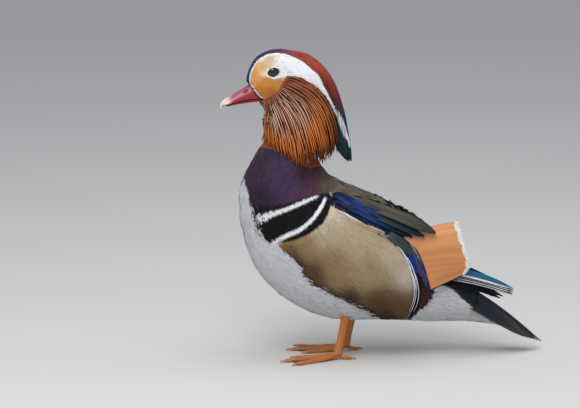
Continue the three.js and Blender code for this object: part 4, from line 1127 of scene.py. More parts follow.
def vanes(name, lines, outs, half_widths, thick, camber, columns, colour_of, material, replaces=(), shape="hackle",
          cell=None, turn=1, inner=None):
    """Closed thin feathers with several columns, their colour given by (across, along, index). turn is -1 on the right."""
    count, rows = lines.shape[:2]
    shares = np.linspace(0, 1, rows)
    profile = np.interp(shares, np.linspace(0, 1, len(SHAPES[shape])), SHAPES[shape])
    ahead = unit(np.gradient(lines, axis=1))
    across = unit(np.cross(ahead, outs))
    side = np.linspace(-1, 1, columns)
    half = half_widths[:, None] * profile[None, :]
    ridge = np.exp(-((side / 0.16) ** 2)) * 0.5 - camber * side**2
    offset = across[:, :, None, :] * (half[..., None] * side)[..., None]
    raised = outs[:, :, None, :] * (ridge[None, None, :] * thick * np.maximum(0.3, 1 - shares)[None, :, None])[..., None]
    top = lines[:, :, None, :] + offset + raised
    inward = thick * (0.25 + 0.75 * (1 - np.abs(side) ** 3))
    bottom = top - outs[:, :, None, :] * inward[None, None, :, None]
    points = np.stack([top, bottom[:, :, ::-1]], 2).reshape(count, rows, 2 * columns, 3)
    ring = 2 * columns
    base = np.arange(count)[:, None, None] * rows * ring
    row = np.arange(rows - 1)[None, :, None] * ring
    at = np.arange(ring)[None, None, :]
    after = (at + 1) % ring
    start = base + row
    quads = np.stack([start + at, start + after, start + ring + after, start + ring + at], -1).reshape(-1, 4)
    caps = []
    for j in range(columns - 1):
        first = base[:, 0, 0]
        last = first + (rows - 1) * ring
        caps.append(np.stack([first + j + 1, first + j, first + ring - 1 - j, first + ring - 2 - j], 1))
        caps.append(np.stack([last + j, last + j + 1, last + ring - 2 - j, last + ring - 1 - j], 1))
    quads = np.concatenate([quads] + caps)
    sides = np.concatenate([side, side[::-1]])
    u = np.broadcast_to(sides[None, None, :], (count, rows, ring))
    v = np.broadcast_to(shares[None, :, None], (count, rows, ring))
    index = np.broadcast_to(np.arange(count)[:, None, None], (count, rows, ring))
    flat_points = points.reshape(-1, 3)
    colours = colour_of(turn * u.ravel(), v.ravel(), index.ravel(), flat_points)
    if inner is not None:
        inward_face = np.broadcast_to((np.arange(ring) >= columns)[None, None, :], u.shape).ravel()
        colours = over(colours, linear(inner), inward_face * 0.85)
    span = np.linalg.norm(np.diff(lines, axis=1), axis=2).sum(1)
    vane = np.stack([(u * half[..., None]).ravel(), (v * span[:, None, None]).ravel(), np.zeros(u.size)], 1)
    if cell is None:
        roots = unwrap(lines[:, 0])
        place = roots[:, None, None, :] + np.stack([v * PATCH, u * PATCH / 2], -1)
    else:
        across_cells = math.ceil(math.sqrt(count))
        corner = np.stack([index % across_cells, index // across_cells], -1) / across_cells
        under = np.broadcast_to((np.arange(ring) >= columns)[None, None, :], u.shape)
        place = corner + np.stack([0.05 + 0.9 * v, 0.28 + 0.2 * u + 0.45 * under], -1) / across_cells
    flat = np.clip(place.reshape(-1, 2), 0, 1)
    made = finished(name, flat_points, quads, [], colours, vane, flat, material)
    if replaces:
        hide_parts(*replaces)
    return made


def drawn_lines(lines, chances, starts, ends, lifts, steps, relief):
    """Lines between the drawn ones, swaying a little, laid on the left of a relief and raised."""
    table = np.array(lines, float)
    shares = np.linspace(0, 1, steps)
    made, outs = [], []
    for chance, start, end, lift in zip(chances, starts, ends, lifts):
        one = along(table.reshape(len(table), -1), chance).reshape(-1, 2)
        places = curve(one, start + (end - start) * shares)
        aside = np.gradient(places, axis=0)[:, ::-1] * np.array([1.0, -1.0])
        sway = RANDOM.normal(0, HACKLE_SWAY) * shares**2 + 0.3 * RANDOM.randn() * np.sin(shares * 7 + 6 * RANDOM.rand())
        spots, normals = relief.at(places + unit(aside) * sway[:, None])
        spots[:, 1] = np.maximum(spots[:, 1], MIDDLE_GAP)
        rise = -0.8 + (lift + 0.8) * np.minimum(1, shares / 0.2)
        made.append(spots + normals * rise[:, None])
        outs.append(normals)
    return np.array(made), np.array(outs)


def smoothed(rows, rounds=3):
    rows = rows.copy()
    for _ in range(rounds):
        rows[1:-1] = 0.25 * rows[:-2] + 0.5 * rows[1:-1] + 0.25 * rows[2:]
    return rows


chances, starts, ends, lifts, widths, shades = [], [], [], [], [], []
for count, start, end, half, lift, shade in HACKLE_TIERS:
    for i in range(count):
        chances.append(np.clip((i + 0.5 + RANDOM.uniform(-0.25, 0.25)) / count, 0, 1))
        starts.append(start * RANDOM.uniform(0.9, 1.1))
        ends.append(end * RANDOM.uniform(0.94, 1.02))
        lifts.append(lift + 0.35 * (i % 2))
        widths.append(half * RANDOM.uniform(0.9, 1.1))
        shades.append(shade)
ruff_relief = Relief([skin.tree], (240, 70), (350, 180), 2, 2.0, 1.5, 12)
hackle_lines, hackle_outs = drawn_lines(HACKLE_LINES, chances, starts, ends, lifts, HACKLE_STEPS, ruff_relief)
steady = 0.85 * smooth(0.4, 0.75, np.linspace(0, 1, HACKLE_STEPS))[None, :, None]
hackle_outs = unit(hackle_outs + (unit(hackle_outs[:, :9].mean(1))[:, None, :] - hackle_outs) * steady)
widths = np.array(widths)
shades = np.array(shades)
starts = np.array(starts)
ends = np.array(ends)
hackle_chances = np.array(chances)


def hackle_colour(u, v, index, points):
    """Orange webs with dark edges, a pale shaft where the hackle is high on the cheek, and painted shade on the lower
    tiers.
    """
    far = starts[index] + (ends[index] - starts[index]) * v
    chance = hackle_chances[index]
    web = RUST + (ORANGE - RUST) * smooth(0.25, 0.6, far)[:, None]
    web = web + (ORANGE_DEEP - web) * smooth(0.75, 1.0, far)[:, None]
    web = over(web, ORANGE_DEEP, smooth(0.16, 0.03, chance) * 0.8)
    web = over(web, MAROON, RANDOM.rand(len(starts))[index] * 0.5 * smooth(0.4, 0.8, far))
    colour = over(web, MAROON, smooth(0.22, 0.6, np.abs(u)) * (1 - 0.6 * smooth(0.8, 0.95, chance)))
    pale = smooth(0.36, 0.05, np.abs(u)) * smooth(0.6, 0.28, far)
    shaft = np.where(RANDOM.rand(len(starts)) > 0.45, 0.95, 0.15)[index]
    colour = over(colour, CREAM, pale * shaft * (0.2 + 0.8 * smooth(0.12, 0.4, chance)))
    colour = over(colour, RUST, smooth(0.14, 0.0, v) * 0.8)
    # The lower tiers, lying under the others, are darkened as painted shade
    return np.clip(colour * shades[index][:, None], 0, 1)


for side, flip in (("left", lambda p: p), ("right", mirrored)):
    vanes(
        f"hackles_{side}",
        flip(hackle_lines),
        flip(hackle_outs),
        widths,
        0.4,
        0.5,
        HACKLE_COLUMNS,
        hackle_colour,
        HACKLE,
        [f"ruff_{side}"],
    )

# A sail is a web between its shaft in front and its pale fringe behind
SAIL_SHAFT = [(-47, 42, 117), (-57, 43, 107), (-65, 42, 91), (-73, 39, 66)]
SAIL_EDGE = [(-101, 33, 129), (-105, 38, 111), (-111, 38, 91), (-107, 36, 81)]
SAIL_DROP = 0.36
SAIL_BULGE = 3.0
SAIL_ROWS = 110
SAIL_COLUMNS = 60
SAIL_THICK = 0.5
FRINGE_FROM = 0.935


def sail_place(across, down):
    """Where the web is, from 0 at the shaft to 1 at the fringe, and from 0 at its top to 1 at its foot."""
    root = curve(SAIL_SHAFT, down)
    reach = curve(SAIL_EDGE, down) - root
    spot = root + reach * across[..., None]
    spot[..., 1] += SAIL_BULGE * np.sin(math.pi * across) * np.sin(math.pi * down)
    spot[..., 2] += 3 * np.sin(math.pi * np.clip(across, 0, 1)) * (1 - down)
    return spot


# Scapulars and the long feathers over the folded wing: root, tip, rise of the line, half-width, lift, kind
LONG_FEATHERS = [
    # root, tip, rise of the line, half-width, lift, kind, how far out the tip is held
    ((404, 243), (419, 275), 1.5, 3.0, 0.6, "lilac", 0),
    ((400, 240), (414, 272), 1.5, 3.4, 0.9, "mirror", 0),
    ((390, 235), (409, 254), 1.5, 4.2, 1.4, "covert", 0),
    ((384, 232), (402, 247), 1.5, 4.0, 1.8, "covert", 0),
    ((343, 205), (410, 236.5), 1.0, 4.2, 0.2, "teal_olive", 44),
    ((352, 205), (421, 236), 1.0, 5.2, 0.6, "teal_olive", 45.5),
    ((356, 200.5), (432.5, 231.5), 0.5, 6.8, 1.2, "olive_green", 46),
    ((340, 196), (388, 217), 1.5, 3.6, 1.2, "olive", 0),
    ((338, 195), (374, 209), 1.5, 3.2, 1.6, "olive", 0),
    ((329, 203), (352, 216), 1.5, 3.0, 0.4, "navy", 0),
    ((330, 203), (372, 226), 2.0, 3.4, 0.6, "navy", 0),
    ((330, 203), (388, 233), 2.5, 3.6, 0.8, "navy", 0),
    ((331, 202), (402, 235.5), 3.0, 3.8, 1.1, "navy_teal", 43.5),
    ((332, 200), (391, 229), 3.0, 3.6, 1.5, "navy_teal", 0),
    ((333, 198), (386, 221), 3.0, 3.4, 1.9, "teal", 0),
    ((334, 197), (380, 213), 2.5, 3.0, 2.2, "olive_teal", 0),
    ((331, 201), (374, 223), 2.5, 3.0, 1.9, "blue", 0),
    ((331, 199), (368, 216), 2.5, 3.0, 2.3, "purple", 0),
    ((332, 196), (362, 208), 2.0, 2.6, 2.6, "blue", 0),
    ((330, 200), (354, 214), 2.0, 2.8, 2.4, "navy", 0),
    ((330, 197), (348, 207), 1.5, 2.6, 2.8, "blue", 0),
    ((331, 195), (351, 202), 1.5, 2.4, 3.0, "navy", 0),
]
WEBS = {
    # near the root, near the tip, its edges
    "lilac": ((80, 76, 130), (72, 68, 116), (14, 14, 22)),
    "mirror": ((12, 40, 120), (14, 52, 140), (6, 8, 20)),
    "covert": ((66, 76, 72), (54, 66, 62), (36, 44, 42)),
    "olive": ((92, 84, 72), (84, 78, 68), (60, 56, 48)),
    "olive_dark": ((84, 78, 68), (62, 60, 52), (30, 30, 28)),
    "green_dark": ((50, 54, 48), (40, 50, 44), (12, 14, 12)),
    "navy": ((4, 18, 56), (4, 30, 78), (3, 6, 16)),
    "navy_teal": ((6, 24, 72), (4, 54, 98), (4, 9, 24)),
    "blue": ((6, 38, 104), (8, 54, 130), (4, 10, 34)),
    "purple": ((22, 32, 96), (36, 38, 110), (6, 12, 38)),
    "teal": ((22, 48, 80), (6, 66, 100), (8, 24, 42)),
    "teal_olive": ((56, 62, 60), (20, 46, 60), (8, 18, 30)),
    "olive_teal": ((72, 70, 62), (42, 62, 68), (22, 32, 36)),
    "olive_green": ((84, 80, 68), (50, 56, 46), (22, 26, 22)),
}
LONG_ROWS = 16


def long_colour(u, v, index, points):
    kinds = [LONG_FEATHERS[i][5] for i in range(len(LONG_FEATHERS))]
    near = np.array([linear(WEBS[k][0]) for k in kinds])[index]
    far = np.array([linear(WEBS[k][1]) for k in kinds])[index]
    rim = np.array([linear(WEBS[k][2]) for k in kinds])[index]
    colour = near + (far - near) * smooth(0.35, 0.9, v)[:, None]
    shimmer = 0.5 + 0.5 * np.sin(8 * v + 5 * index + 2.5 * np.abs(u))
    colour = over(colour, rim, np.maximum(smooth(0.72, 0.98, np.abs(u)), 0.35 * shimmer))
    return over(colour, linear((12, 14, 20)), smooth(0.1, 0.03, np.abs(u)) * 0.4)


wing_relief = Relief([skin.tree], (322, 176), (436, 322), 1, 1.5, 2.0, 8)
lines, outs = [], []
for root, tip, bow, half, lift, kind, tip_y in LONG_FEATHERS:
    shares = np.linspace(0, 1, LONG_ROWS)
    places = np.array(root) + (np.array(tip) - np.array(root)) * shares[:, None]
    places[:, 1] -= bow * np.sin(math.pi * shares)
    spots, normals = wing_relief.at(places)
    rise = -1.0 + (lift + 1.0) * np.minimum(1, shares / 0.25)
    spots = spots + normals * rise[:, None]
    if tip_y:
        depths = spots @ VIEW_OUT
        last = depths[-1] + (tip_y - spots[-1, 1]) / VIEW_OUT[1]
        straight = depths[0] + (last - depths[0]) * shares
        spots += (np.maximum(depths, straight) - depths)[:, None] * VIEW_OUT
        spots = smoothed(spots, 6)
        normals = unit(normals + (np.array([-0.05, 0.75, 0.66]) - normals) * smooth(0.2, 0.7, shares)[:, None])
    lines.append(spots)
    outs.append(normals)
lines, outs = np.array(lines), np.array(outs)
halves = np.array([f[3] for f in LONG_FEATHERS])
WING_DROP = {"left": 0.0, "right": 7.0}
long_tips = np.array([float(f[6] > 0) for f in LONG_FEATHERS])
for side, flip, sign in (("left", lambda p: p, 1), ("right", mirrored, -1)):
    sunk = WING_DROP[side] * np.linspace(0, 1, LONG_ROWS)[None, :] * long_tips[:, None]
    held = lines - np.stack([-0.5 * sunk, 0 * sunk, sunk], 2)
    vanes(f"wing_feathers_{side}", flip(held), flip(outs), halves, 0.6, 0.5, 11, long_colour, VANE,
          [f"wing_{side}"], shape="blade", cell=True, turn=sign)

# White and black edges along the rear of the flank
CRESCENTS = [
    # line, half-width, lift, white or black
    ([(389, 236), (399, 248), (407, 260), (412, 273), (414.5, 286), (414, 299), (410, 312)], 1.3, 0.5, 0),
    ([(362, 223), (370, 226), (378, 229.7), (386, 235.5), (394, 243.5), (400, 252)], 0.4, 0.7, 1),
    ([(385, 233.5), (396, 245), (404.5, 258), (409.5, 272), (412, 285), (411.5, 298), (408, 310)], 0.55, 0.9, 1),
    ([(399, 250), (406.5, 259.5), (411, 269), (413.7, 279), (414.3, 289)], 0.42, 1.2, 1),
    ([(404, 262), (410, 272), (413, 283), (413.6, 294), (411, 306), (407, 315)], 0.42, 1.2, 1),
    ([(411, 262), (415.5, 274), (418, 286), (417.5, 298), (413, 310), (408, 318)], 1.3, 0.6, 0),
    ([(409, 266), (414, 276), (416.4, 287), (416, 299), (412.5, 310)], 0.4, 1.3, 1),
]
CRESCENT_TONES = np.array([linear(BLACK), linear((226, 230, 236))])
lines, outs = [], []
for drawn, half, lift, tone in CRESCENTS:
    shares = np.linspace(0, 1, LONG_ROWS)
    spots, normals = wing_relief.at(curve(drawn, shares))
    rise = -0.8 + (lift + 0.8) * np.minimum(1, shares / 0.15)
    lines.append(spots + normals * rise[:, None])
    outs.append(normals)
lines, outs = np.array(lines), np.array(outs)
halves = np.array([row[1] for row in CRESCENTS])


def crescent_colour(u, v, index, points):
    return CRESCENT_TONES[np.array([row[3] for row in CRESCENTS])[index]]


for side, flip in (("left", lambda p: p), ("right", mirrored)):
    vanes(f"flank_edges_{side}", flip(lines), flip(outs), halves, 0.3, 0.2, 5, crescent_colour, SOFT,
          shape="hair")

# Flight feathers of the folded wing
FLIGHT_COUNT = 6
FLIGHT_ROWS = 20


def flight_colour(u, v, index, points):
    """A teal outer web on the uppermost, and a white line along each lower edge above a black one."""
    colour = np.repeat(linear((16, 18, 24))[None], len(u), 0)
    colour = over(colour, linear((30, 96, 132)), (index == 0) * smooth(0.5, 0.35, u) * smooth(0.1, 0.3, v))
    # A darker teal along the upper edge of the uppermost is painted shade
    colour = over(colour, linear((22, 60, 84)), (index == 0) * smooth(-0.8, -0.95, u) * 0.6)
    white = smooth(0.38, 0.46, u) * smooth(0.84, 0.76, u) * (index < 4) * smooth(0.2, 0.35, v)
    colour = over(colour, linear((226, 228, 230)), white)
    brown = smooth(0.86, 0.98, v) * (index > 2)
    return over(colour, linear((70, 48, 36)), brown * 0.8)


lines, outs = [], []
FLIGHT_HALVES = np.array([4.7, 4.2, 4.2, 4.2, 4.0, 3.8])
for i in range(FLIGHT_COUNT):
    shares = np.linspace(0, 1, FLIGHT_ROWS)
    root = np.array([-78 + i, 32.5 + 0.3 * i, 86 - 2.4 * i])
    tip = np.array([-156 + (0.5 if i < 4 else 2.6) * i, 15.5 + 0.6 * i, 61.5 - 1.6 * i])
    spots = root + (tip - root) * shares[:, None]
    spots[:, 1] += 2.5 * np.sin(math.pi * shares)
    spots[:, 2] += (3.0 + 0.5 * i) * np.sin(math.pi * shares)
    facing = np.stack([np.zeros(FLIGHT_ROWS), np.ones(FLIGHT_ROWS), 0.75 + 0.1 * shares], 1)
    lines.append(spots)
    outs.append(unit(facing))
lines, outs = np.array(lines), np.array(outs)
FLIGHT_DROP = {"left": 0.0, "right": 5.0}
flight_share = np.linspace(0, 1, FLIGHT_ROWS)
for side, flip, sign in (("left", lambda p: p, 1), ("right", mirrored, -1)):
    held = lines - np.stack([0 * flight_share, 0 * flight_share, FLIGHT_DROP[side] * flight_share], 1)
    vanes(f"flight_feathers_{side}", flip(held), flip(outs), FLIGHT_HALVES, 0.7, 0.3, 15,
          flight_colour, VANE, [f"primaries_{side}"], shape="long", cell=True, turn=sign,
          inner=(44, 42, 44))

# The tail
TAIL_PAIRS = 6


def tail_colour(u, v, index, points):
    colour = over(np.repeat(linear((24, 36, 46))[None], len(u), 0), linear((72, 62, 56)), smooth(0.55, 1.0, v) * 0.8)
    colour = over(colour, linear((80, 80, 80)), smooth(0.8, 0.98, np.abs(u)) * 0.4)
    return over(colour, linear((16, 18, 22)), smooth(0.1, 0.03, np.abs(u)) * 0.7)


lines, outs, halves = [], [], []
for i in range(TAIL_PAIRS):
    tilt = i / (TAIL_PAIRS - 1) * 1.1
    for side in (1, -1):
        shares = np.linspace(0, 1, FLIGHT_ROWS)
        root = np.array([-82 - i, side * (2 + 3.2 * i), 80 - 2.9 * i])
        tip = np.array([-186 + 3.5 * i, side * (1.3 + 1.9 * i), 8.5 + 1.3 * i])
        facing = unit(np.array([-0.5, side * math.sin(tilt + 0.15), math.cos(tilt)]))
        spots = root + (tip - root) * shares[:, None] + facing * (5 * np.sin(math.pi * shares))[:, None]
        lines.append(spots)
        outs.append(np.repeat(facing[None], FLIGHT_ROWS, 0))
        halves.append(5.4 + 0.3 * i)
vanes("tail_vanes", np.array(lines), np.array(outs), np.array(halves), 0.9, 0.4, 11, tail_colour, VANE,
      ["tail"], shape="long", cell=True)

# The sails
def turned_down(points):
    """Held lower: turned about the top of the shaft."""
    x, z = points[..., 0] - SAIL_SHAFT[0][0], points[..., 2] - SAIL_SHAFT[0][2]
    cos, sin = math.cos(-SAIL_DROP), math.sin(-SAIL_DROP)
    made = points.copy()
    made[..., 0] = SAIL_SHAFT[0][0] + x * cos + z * sin
    made[..., 2] = SAIL_SHAFT[0][2] - x * sin + z * cos
    return made


down, across = np.meshgrid(np.linspace(0, 1, SAIL_ROWS), np.linspace(0, 1, SAIL_COLUMNS), indexing="ij")
reach = FRINGE_FROM + 0.03 + 0.006 * np.sin(down * 60) + 0.005 * np.sin(down * 171)
web_spots = sail_place(across * reach, down)
ripple = 0.04 * np.sin(down * 230 + across * 3) + 0.12 * np.sin(down * 31 + across * 2.2)
web_spots[..., 1] += ripple * np.minimum(1, across * 4)
web_spots[:, 0, 1] += 0.5
front = web_spots.reshape(-1, 3) + np.array([0, SAIL_THICK / 2, 0])
rear = web_spots.reshape(-1, 3) - np.array([0, SAIL_THICK / 2, 0])
sheet = np.array(grid_faces(SAIL_ROWS, SAIL_COLUMNS))
count = SAIL_ROWS * SAIL_COLUMNS
rim = list(range(SAIL_COLUMNS)) + [i * SAIL_COLUMNS + SAIL_COLUMNS - 1 for i in range(1, SAIL_ROWS)]
rim += [(SAIL_ROWS - 1) * SAIL_COLUMNS + j for j in range(SAIL_COLUMNS - 2, -1, -1)]
rim += [i * SAIL_COLUMNS for i in range(SAIL_ROWS - 2, 0, -1)]
rim_faces = [(a, b, b + count, a + count) for a, b in zip(rim, rim[1:] + rim[:1])]
sail_faces = np.concatenate([sheet[:, ::-1], sheet + count, np.array(rim_faces)])
share_across = np.tile((across * reach).ravel(), 2)
share_down = np.tile(down.ravel(), 2)
web_colour = np.repeat(linear((206, 142, 92))[None], 2 * count, 0)
web_colour = over(web_colour, linear((222, 168, 130)), smooth(0.5, 0.0, share_down) * 0.45)
streaks = 0.5 + 0.5 * np.sin(share_down * 47 + 3 * np.sin(share_down * 9) + share_across * 2)
web_colour = over(web_colour, linear((190, 118, 68)), streaks * 0.35)
pale_from = 0.905 + 0.012 * np.sin(share_down * 83)
web_colour = over(web_colour, linear((230, 228, 224)), smooth(pale_from - 0.012, pale_from + 0.012, share_across))
web_colour = over(web_colour, linear((30, 30, 60)), smooth(0.035, 0.015, share_across) * smooth(0.25, 0.4, share_down))
web_colour = over(web_colour, linear((24, 26, 46)), smooth(0.975, 0.99, share_down))
web_flat = np.stack([0.02 + 0.46 * share_across, 0.02 + 0.96 * share_down], 1)
web_flat[count:, 0] += 0.5
web_vane = np.stack([share_across * 6, share_down * 45, np.zeros(2 * count)], 1)
FRINGE_COUNT = 300
fringe_down = (np.arange(FRINGE_COUNT) + RANDOM.rand(FRINGE_COUNT)) / FRINGE_COUNT
fringe_steps = np.linspace(0, 1, 5)
fringe_end = 0.99 + 0.012 * RANDOM.randn(FRINGE_COUNT)
across_fringe = FRINGE_FROM - 0.06 + (fringe_end - FRINGE_FROM + 0.06)[:, None] * fringe_steps
down_fringe = np.clip(fringe_down[:, None] + 0.02 * RANDOM.randn(FRINGE_COUNT)[:, None] * fringe_steps, 0, 1)
fringe_lines = sail_place(across_fringe, down_fringe)
fringe_lines[..., 1] += 0.2 + RANDOM.randn(FRINGE_COUNT)[:, None] * 0.3 * fringe_steps
fringe_outs = np.tile(np.array([0.0, 1.0, 0.0]), (FRINGE_COUNT, 5, 1))


def fringe_colour(u, v, index, points):
    return np.repeat(linear((232, 231, 228))[None], len(u), 0)


for side in ("left", "right"):
    place = (lambda p: p) if side == "left" else (lambda p: mirrored(turned_down(p)))
    faces = sail_faces if side == "left" else sail_faces[:, ::-1]
    made = finished(f"sail_web_{side}", place(np.vstack([front, rear])), faces, [], web_colour, web_vane, web_flat, SAIL)
    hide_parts(f"sail_{side}")
    outs = fringe_outs if side == "left" else mirrored(fringe_outs)
    vanes(f"sail_fringe_{side}", place(fringe_lines), outs, np.full(FRINGE_COUNT, 0.3), 0.25, 0.0, 3,
          fringe_colour, SOFT, shape="hair", cell=True)


# Bill
def bill_colour(points):
    seen = side_view(points)
    u, v = seen[:, 0], seen[:, 1]
    colour = np.repeat(linear((146, 24, 46))[None], len(points), 0)
    values = curve(BILL, np.clip((points[:, 0] - 78) / 37, 0, 1))
    high = (points[:, 2] - values[:, 1]) / np.maximum(values[:, 2], 0.5)
    # The lilac-pink along the top of the culmen is a painted highlight
    colour = over(colour, linear((158, 92, 116)), smooth(0.55, 1.0, high) * smooth(84, 96, points[:, 0]) * 0.7)
    # The darker red along the lower edge, by the mouth line, is painted shade
    colour = over(colour, linear((132, 14, 30)), smooth(0.4, 0.0, high) * 0.85)
    colour = over(colour, linear((168, 34, 60)), smooth(92, 80, points[:, 0]) * 0.5)
    return over(colour, linear((232, 208, 206)), smooth(104, 112, points[:, 0]) * smooth(0.1, 0.5, high))


def solid_piece(name, shape, colours, material, replaces):
    points, faces = shape
    points = np.asarray(points)
    quads = [f for f in faces if len(f) == 4]
    triangles = [f for f in faces if len(f) == 3]
    low, high = points.min(0), points.max(0)
    share = (points - low) / (high - low)
    flat = np.stack([share[:, 0] * 0.48 + 0.5 * (points[:, 1] > 0), share[:, 2] * 0.96 + 0.02], 1)
    made = finished(name, points, quads, triangles, colours, np.zeros_like(points), flat, material)
    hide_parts(*replaces)
    return made


NOSTRIL = np.array([93.5, 249.0])
upper = tube(BILL, 70, 64)
flat = upper[0][:, [0, 2]] - NOSTRIL
tilt = math.radians(-35)
lengthwise = flat[:, 0] * math.cos(tilt) + flat[:, 1] * math.sin(tilt)
crosswise = -flat[:, 0] * math.sin(tilt) + flat[:, 1] * math.cos(tilt)
hole = 1 - smooth(0.55, 1.15, np.hypot(lengthwise / 2.8, crosswise / 1.15))
upper[0][:, 1] -= np.sign(upper[0][:, 1]) * hole * 1.0
# The nostril's dark red-brown is painted shade in its shallow hollow
colours = over(bill_colour(upper[0]), linear((60, 14, 24)), hole * 0.9)
solid_piece("bill_upper_horn", upper, colours, BILL_HORN, ["bill_upper"])
lower = tube(LOWER_BILL, 50, 48)
colours = np.repeat(linear((150, 30, 48))[None], len(lower[0]), 0)
solid_piece("bill_lower_horn", lower, colours, BILL_HORN, ["bill_lower"])
nail = tube(NAIL, 40, 40)
colours = over(np.repeat(linear((232, 214, 206))[None], len(nail[0]), 0), linear((214, 160, 158)),
               smooth(112, 108, nail[0][:, 0]) * 0.6)
solid_piece("bill_nail_horn", nail, colours, BILL_HORN, ["bill_nail"])

# Eyes and lids
EYE_SIDES = 48
EYE_RINGS = 32
LID_SIDES = 64


def ball(at, radius):
    """A ball whose pole faces out of the head."""
    points, faces = [], []
    for i in range(EYE_RINGS + 1):
        turn = math.pi * i / EYE_RINGS
        for j in range(EYE_SIDES):
            round_ = 2 * math.pi * j / EYE_SIDES
            spot = (math.sin(turn) * math.cos(round_), math.cos(turn), math.sin(turn) * math.sin(round_))
            points.append(at + radius * np.array(spot))
    return np.array(points), grid_faces(EYE_RINGS + 1, EYE_SIDES, closed=True)


for side, flip in (("left", lambda p: p), ("right", mirrored)):
    spots, faces = ball(EYE_AT, EYE_RADIUS)
    toward = (spots[:, 1] - EYE_AT[1]) / EYE_RADIUS
    iris = over(np.repeat(linear((14, 10, 10))[None], len(spots), 0), linear((44, 26, 18)),
                smooth(0.93, 0.9, toward) * smooth(0.6, 0.7, toward))
    faces = [f[::-1] for f in faces] if side == "right" else faces
    solid_piece(f"eyeball_{side}", (flip(spots), faces), iris, EYE_GLASS, [f"eye_{side}"])
    around = along(EYE_OPENING + EYE_OPENING[:1], np.linspace(0, 1, LID_SIDES, endpoint=False))
    around = 0.5 * around + 0.25 * np.roll(around, 2, 0) + 0.25 * np.roll(around, -2, 0)
    middle = around.mean(0)
    rows = []
    for scale, radius, on_skin in ((0.97, 5.6, 0), (0.97, 6.15, 0), (1.02, 6.75, 0), (1.12, 6.9, 0), (1.3, 0.25, 1),
                                   (1.45, -0.2, 1), (1.45, -1.0, 1), (1.1, 5.4, 0)):
        places = middle + (around - middle) * scale
        right = (places[:, :1] - VIEW_U) * VIEW_SCALE
        up = (VIEW_V - places[:, 1:]) * VIEW_SCALE
        flat = right * VIEW_RIGHT + up * VIEW_UP
        if on_skin:
            spots, normals = skin.seen(places)
            rows.append(spots + normals * radius)
            continue
        centre = EYE_AT - (EYE_AT @ VIEW_OUT) * VIEW_OUT
        gap = np.linalg.norm(flat - centre, axis=1)
        out = np.sqrt(np.maximum(radius**2 - gap**2, 0.5))
        rows.append(flat + (EYE_AT @ VIEW_OUT + out)[:, None] * VIEW_OUT)
    points = np.array(rows).reshape(-1, 3)
    closed = grid_faces(len(rows), LID_SIDES, closed=True)
    closed += [(7 * LID_SIDES + j, 7 * LID_SIDES + (j + 1) % LID_SIDES, (j + 1) % LID_SIDES, j) for j in range(LID_SIDES)]
    closed = closed if side == "left" else [f[::-1] for f in closed]
    shade = np.repeat(np.array([0, 0, 0.35, 1, 1, 1, 1, 0]), LID_SIDES)
    tone = over(np.repeat(linear((26, 20, 18))[None], len(points), 0), linear(WHITE), shade)
    lid = solid_piece(f"lids_{side}", (flip(points), closed), tone, SOFT, [])

# Legs and feet: a shank, toes with scales and pads, webs and claws
FOOT_SPREAD = 19.0
ANKLES = {"left": 10.0, "right": -3.0}
FOOT_TURN = 0.14
TOE_JOINT = 5.0
SHANK = [
    # x, y, z, fore and aft radius, side radius
    (-10.6, -3, 57, 4.2, 4.0),
    (-9, -3, 46, 4.0, 3.6),
    (-6, -2, 32, 3.5, 2.8),
    (-3, -1, 18, 3.4, 2.8),
    (-0.8, 0, 8, 4.0, 3.5),
    (0.5, 0, 4.5, 3.6, 3.4),
]
TOES = [(-0.36, 40.0, 2, 2.7), (0.0, 51.0, 3, 2.8), (0.36, 48.0, 4, 2.7), (2.85, 13.0, 1, 1.8)]
TOE_TIP = 1.35
CLAW_LENGTH = 5.5
SCALE_STEP = 2.3
SKIN_ORANGE = (196, 118, 46)
SKIN_LINE = (120, 62, 24)
WEB_GREY = (84, 88, 98)
CLAW_HORN = (196, 140, 104)


def limb(path, radii, facing, rings, sides, plates, flat=0.0):
    """A scaled tube along a path. facing is its front, where its plates are; radii are to the front and the side."""
    shares = np.linspace(0, 1, rings)
    centre = curve(path, shares)
    size = curve(radii, shares)
    ahead = unit(np.gradient(centre, axis=0))
    front = unit(np.asarray(facing, float) - (ahead @ np.asarray(facing, float))[:, None] * ahead)
    aside = np.cross(ahead, front)
    turn = np.linspace(0, 2 * math.pi, sides, endpoint=False)
    span = np.concatenate([[0], np.cumsum(np.linalg.norm(np.diff(centre, axis=0), axis=1))])
    ahead_wave = np.abs(np.sin(math.pi * span / plates))
    on_front = smooth(-0.1, 0.5, np.cos(turn))
    plate = ahead_wave[:, None] ** 0.5 * on_front[None, :]
    small = np.abs(np.sin(math.pi * span / 1.1))[:, None] * np.abs(np.sin(turn * 9))[None, :]
    relief = 0.32 * plate + 0.14 * small * (1 - on_front[None, :])
    closing = np.sqrt(np.clip(np.minimum(shares / 0.03, (1 - shares) / 0.03), 0.02, 1))[:, None]
    out = front[:, None, :] * (np.cos(turn)[None, :] * size[:, :1])[..., None]
    out = out + aside[:, None, :] * (np.sin(turn)[None, :] * size[:, 1:2])[..., None]
    spots = centre[:, None, :] + out * closing[..., None] + unit(out) * relief[..., None] * closing[..., None]
    groove = (1 - ahead_wave[:, None]) ** 2 * on_front[None, :] + 0.35 * (1 - small) * (1 - on_front[None, :])
    tone = over(np.repeat(linear(SKIN_ORANGE)[None], rings * sides, 0), linear(SKIN_LINE), groove.ravel() * 0.75)
    faces = grid_faces(rings, sides, closed=True)
    points = np.vstack([spots.reshape(-1, 3), centre[:1], centre[-1:]])
    tone = np.vstack([tone, tone[:1], tone[-1:]])
    for j in range(sides):
        k = (j + 1) % sides
        faces.append((rings * sides, k, j))
        faces.append((rings * sides + 1, (rings - 1) * sides + j, (rings - 1) * sides + k))
    return points, faces, tone


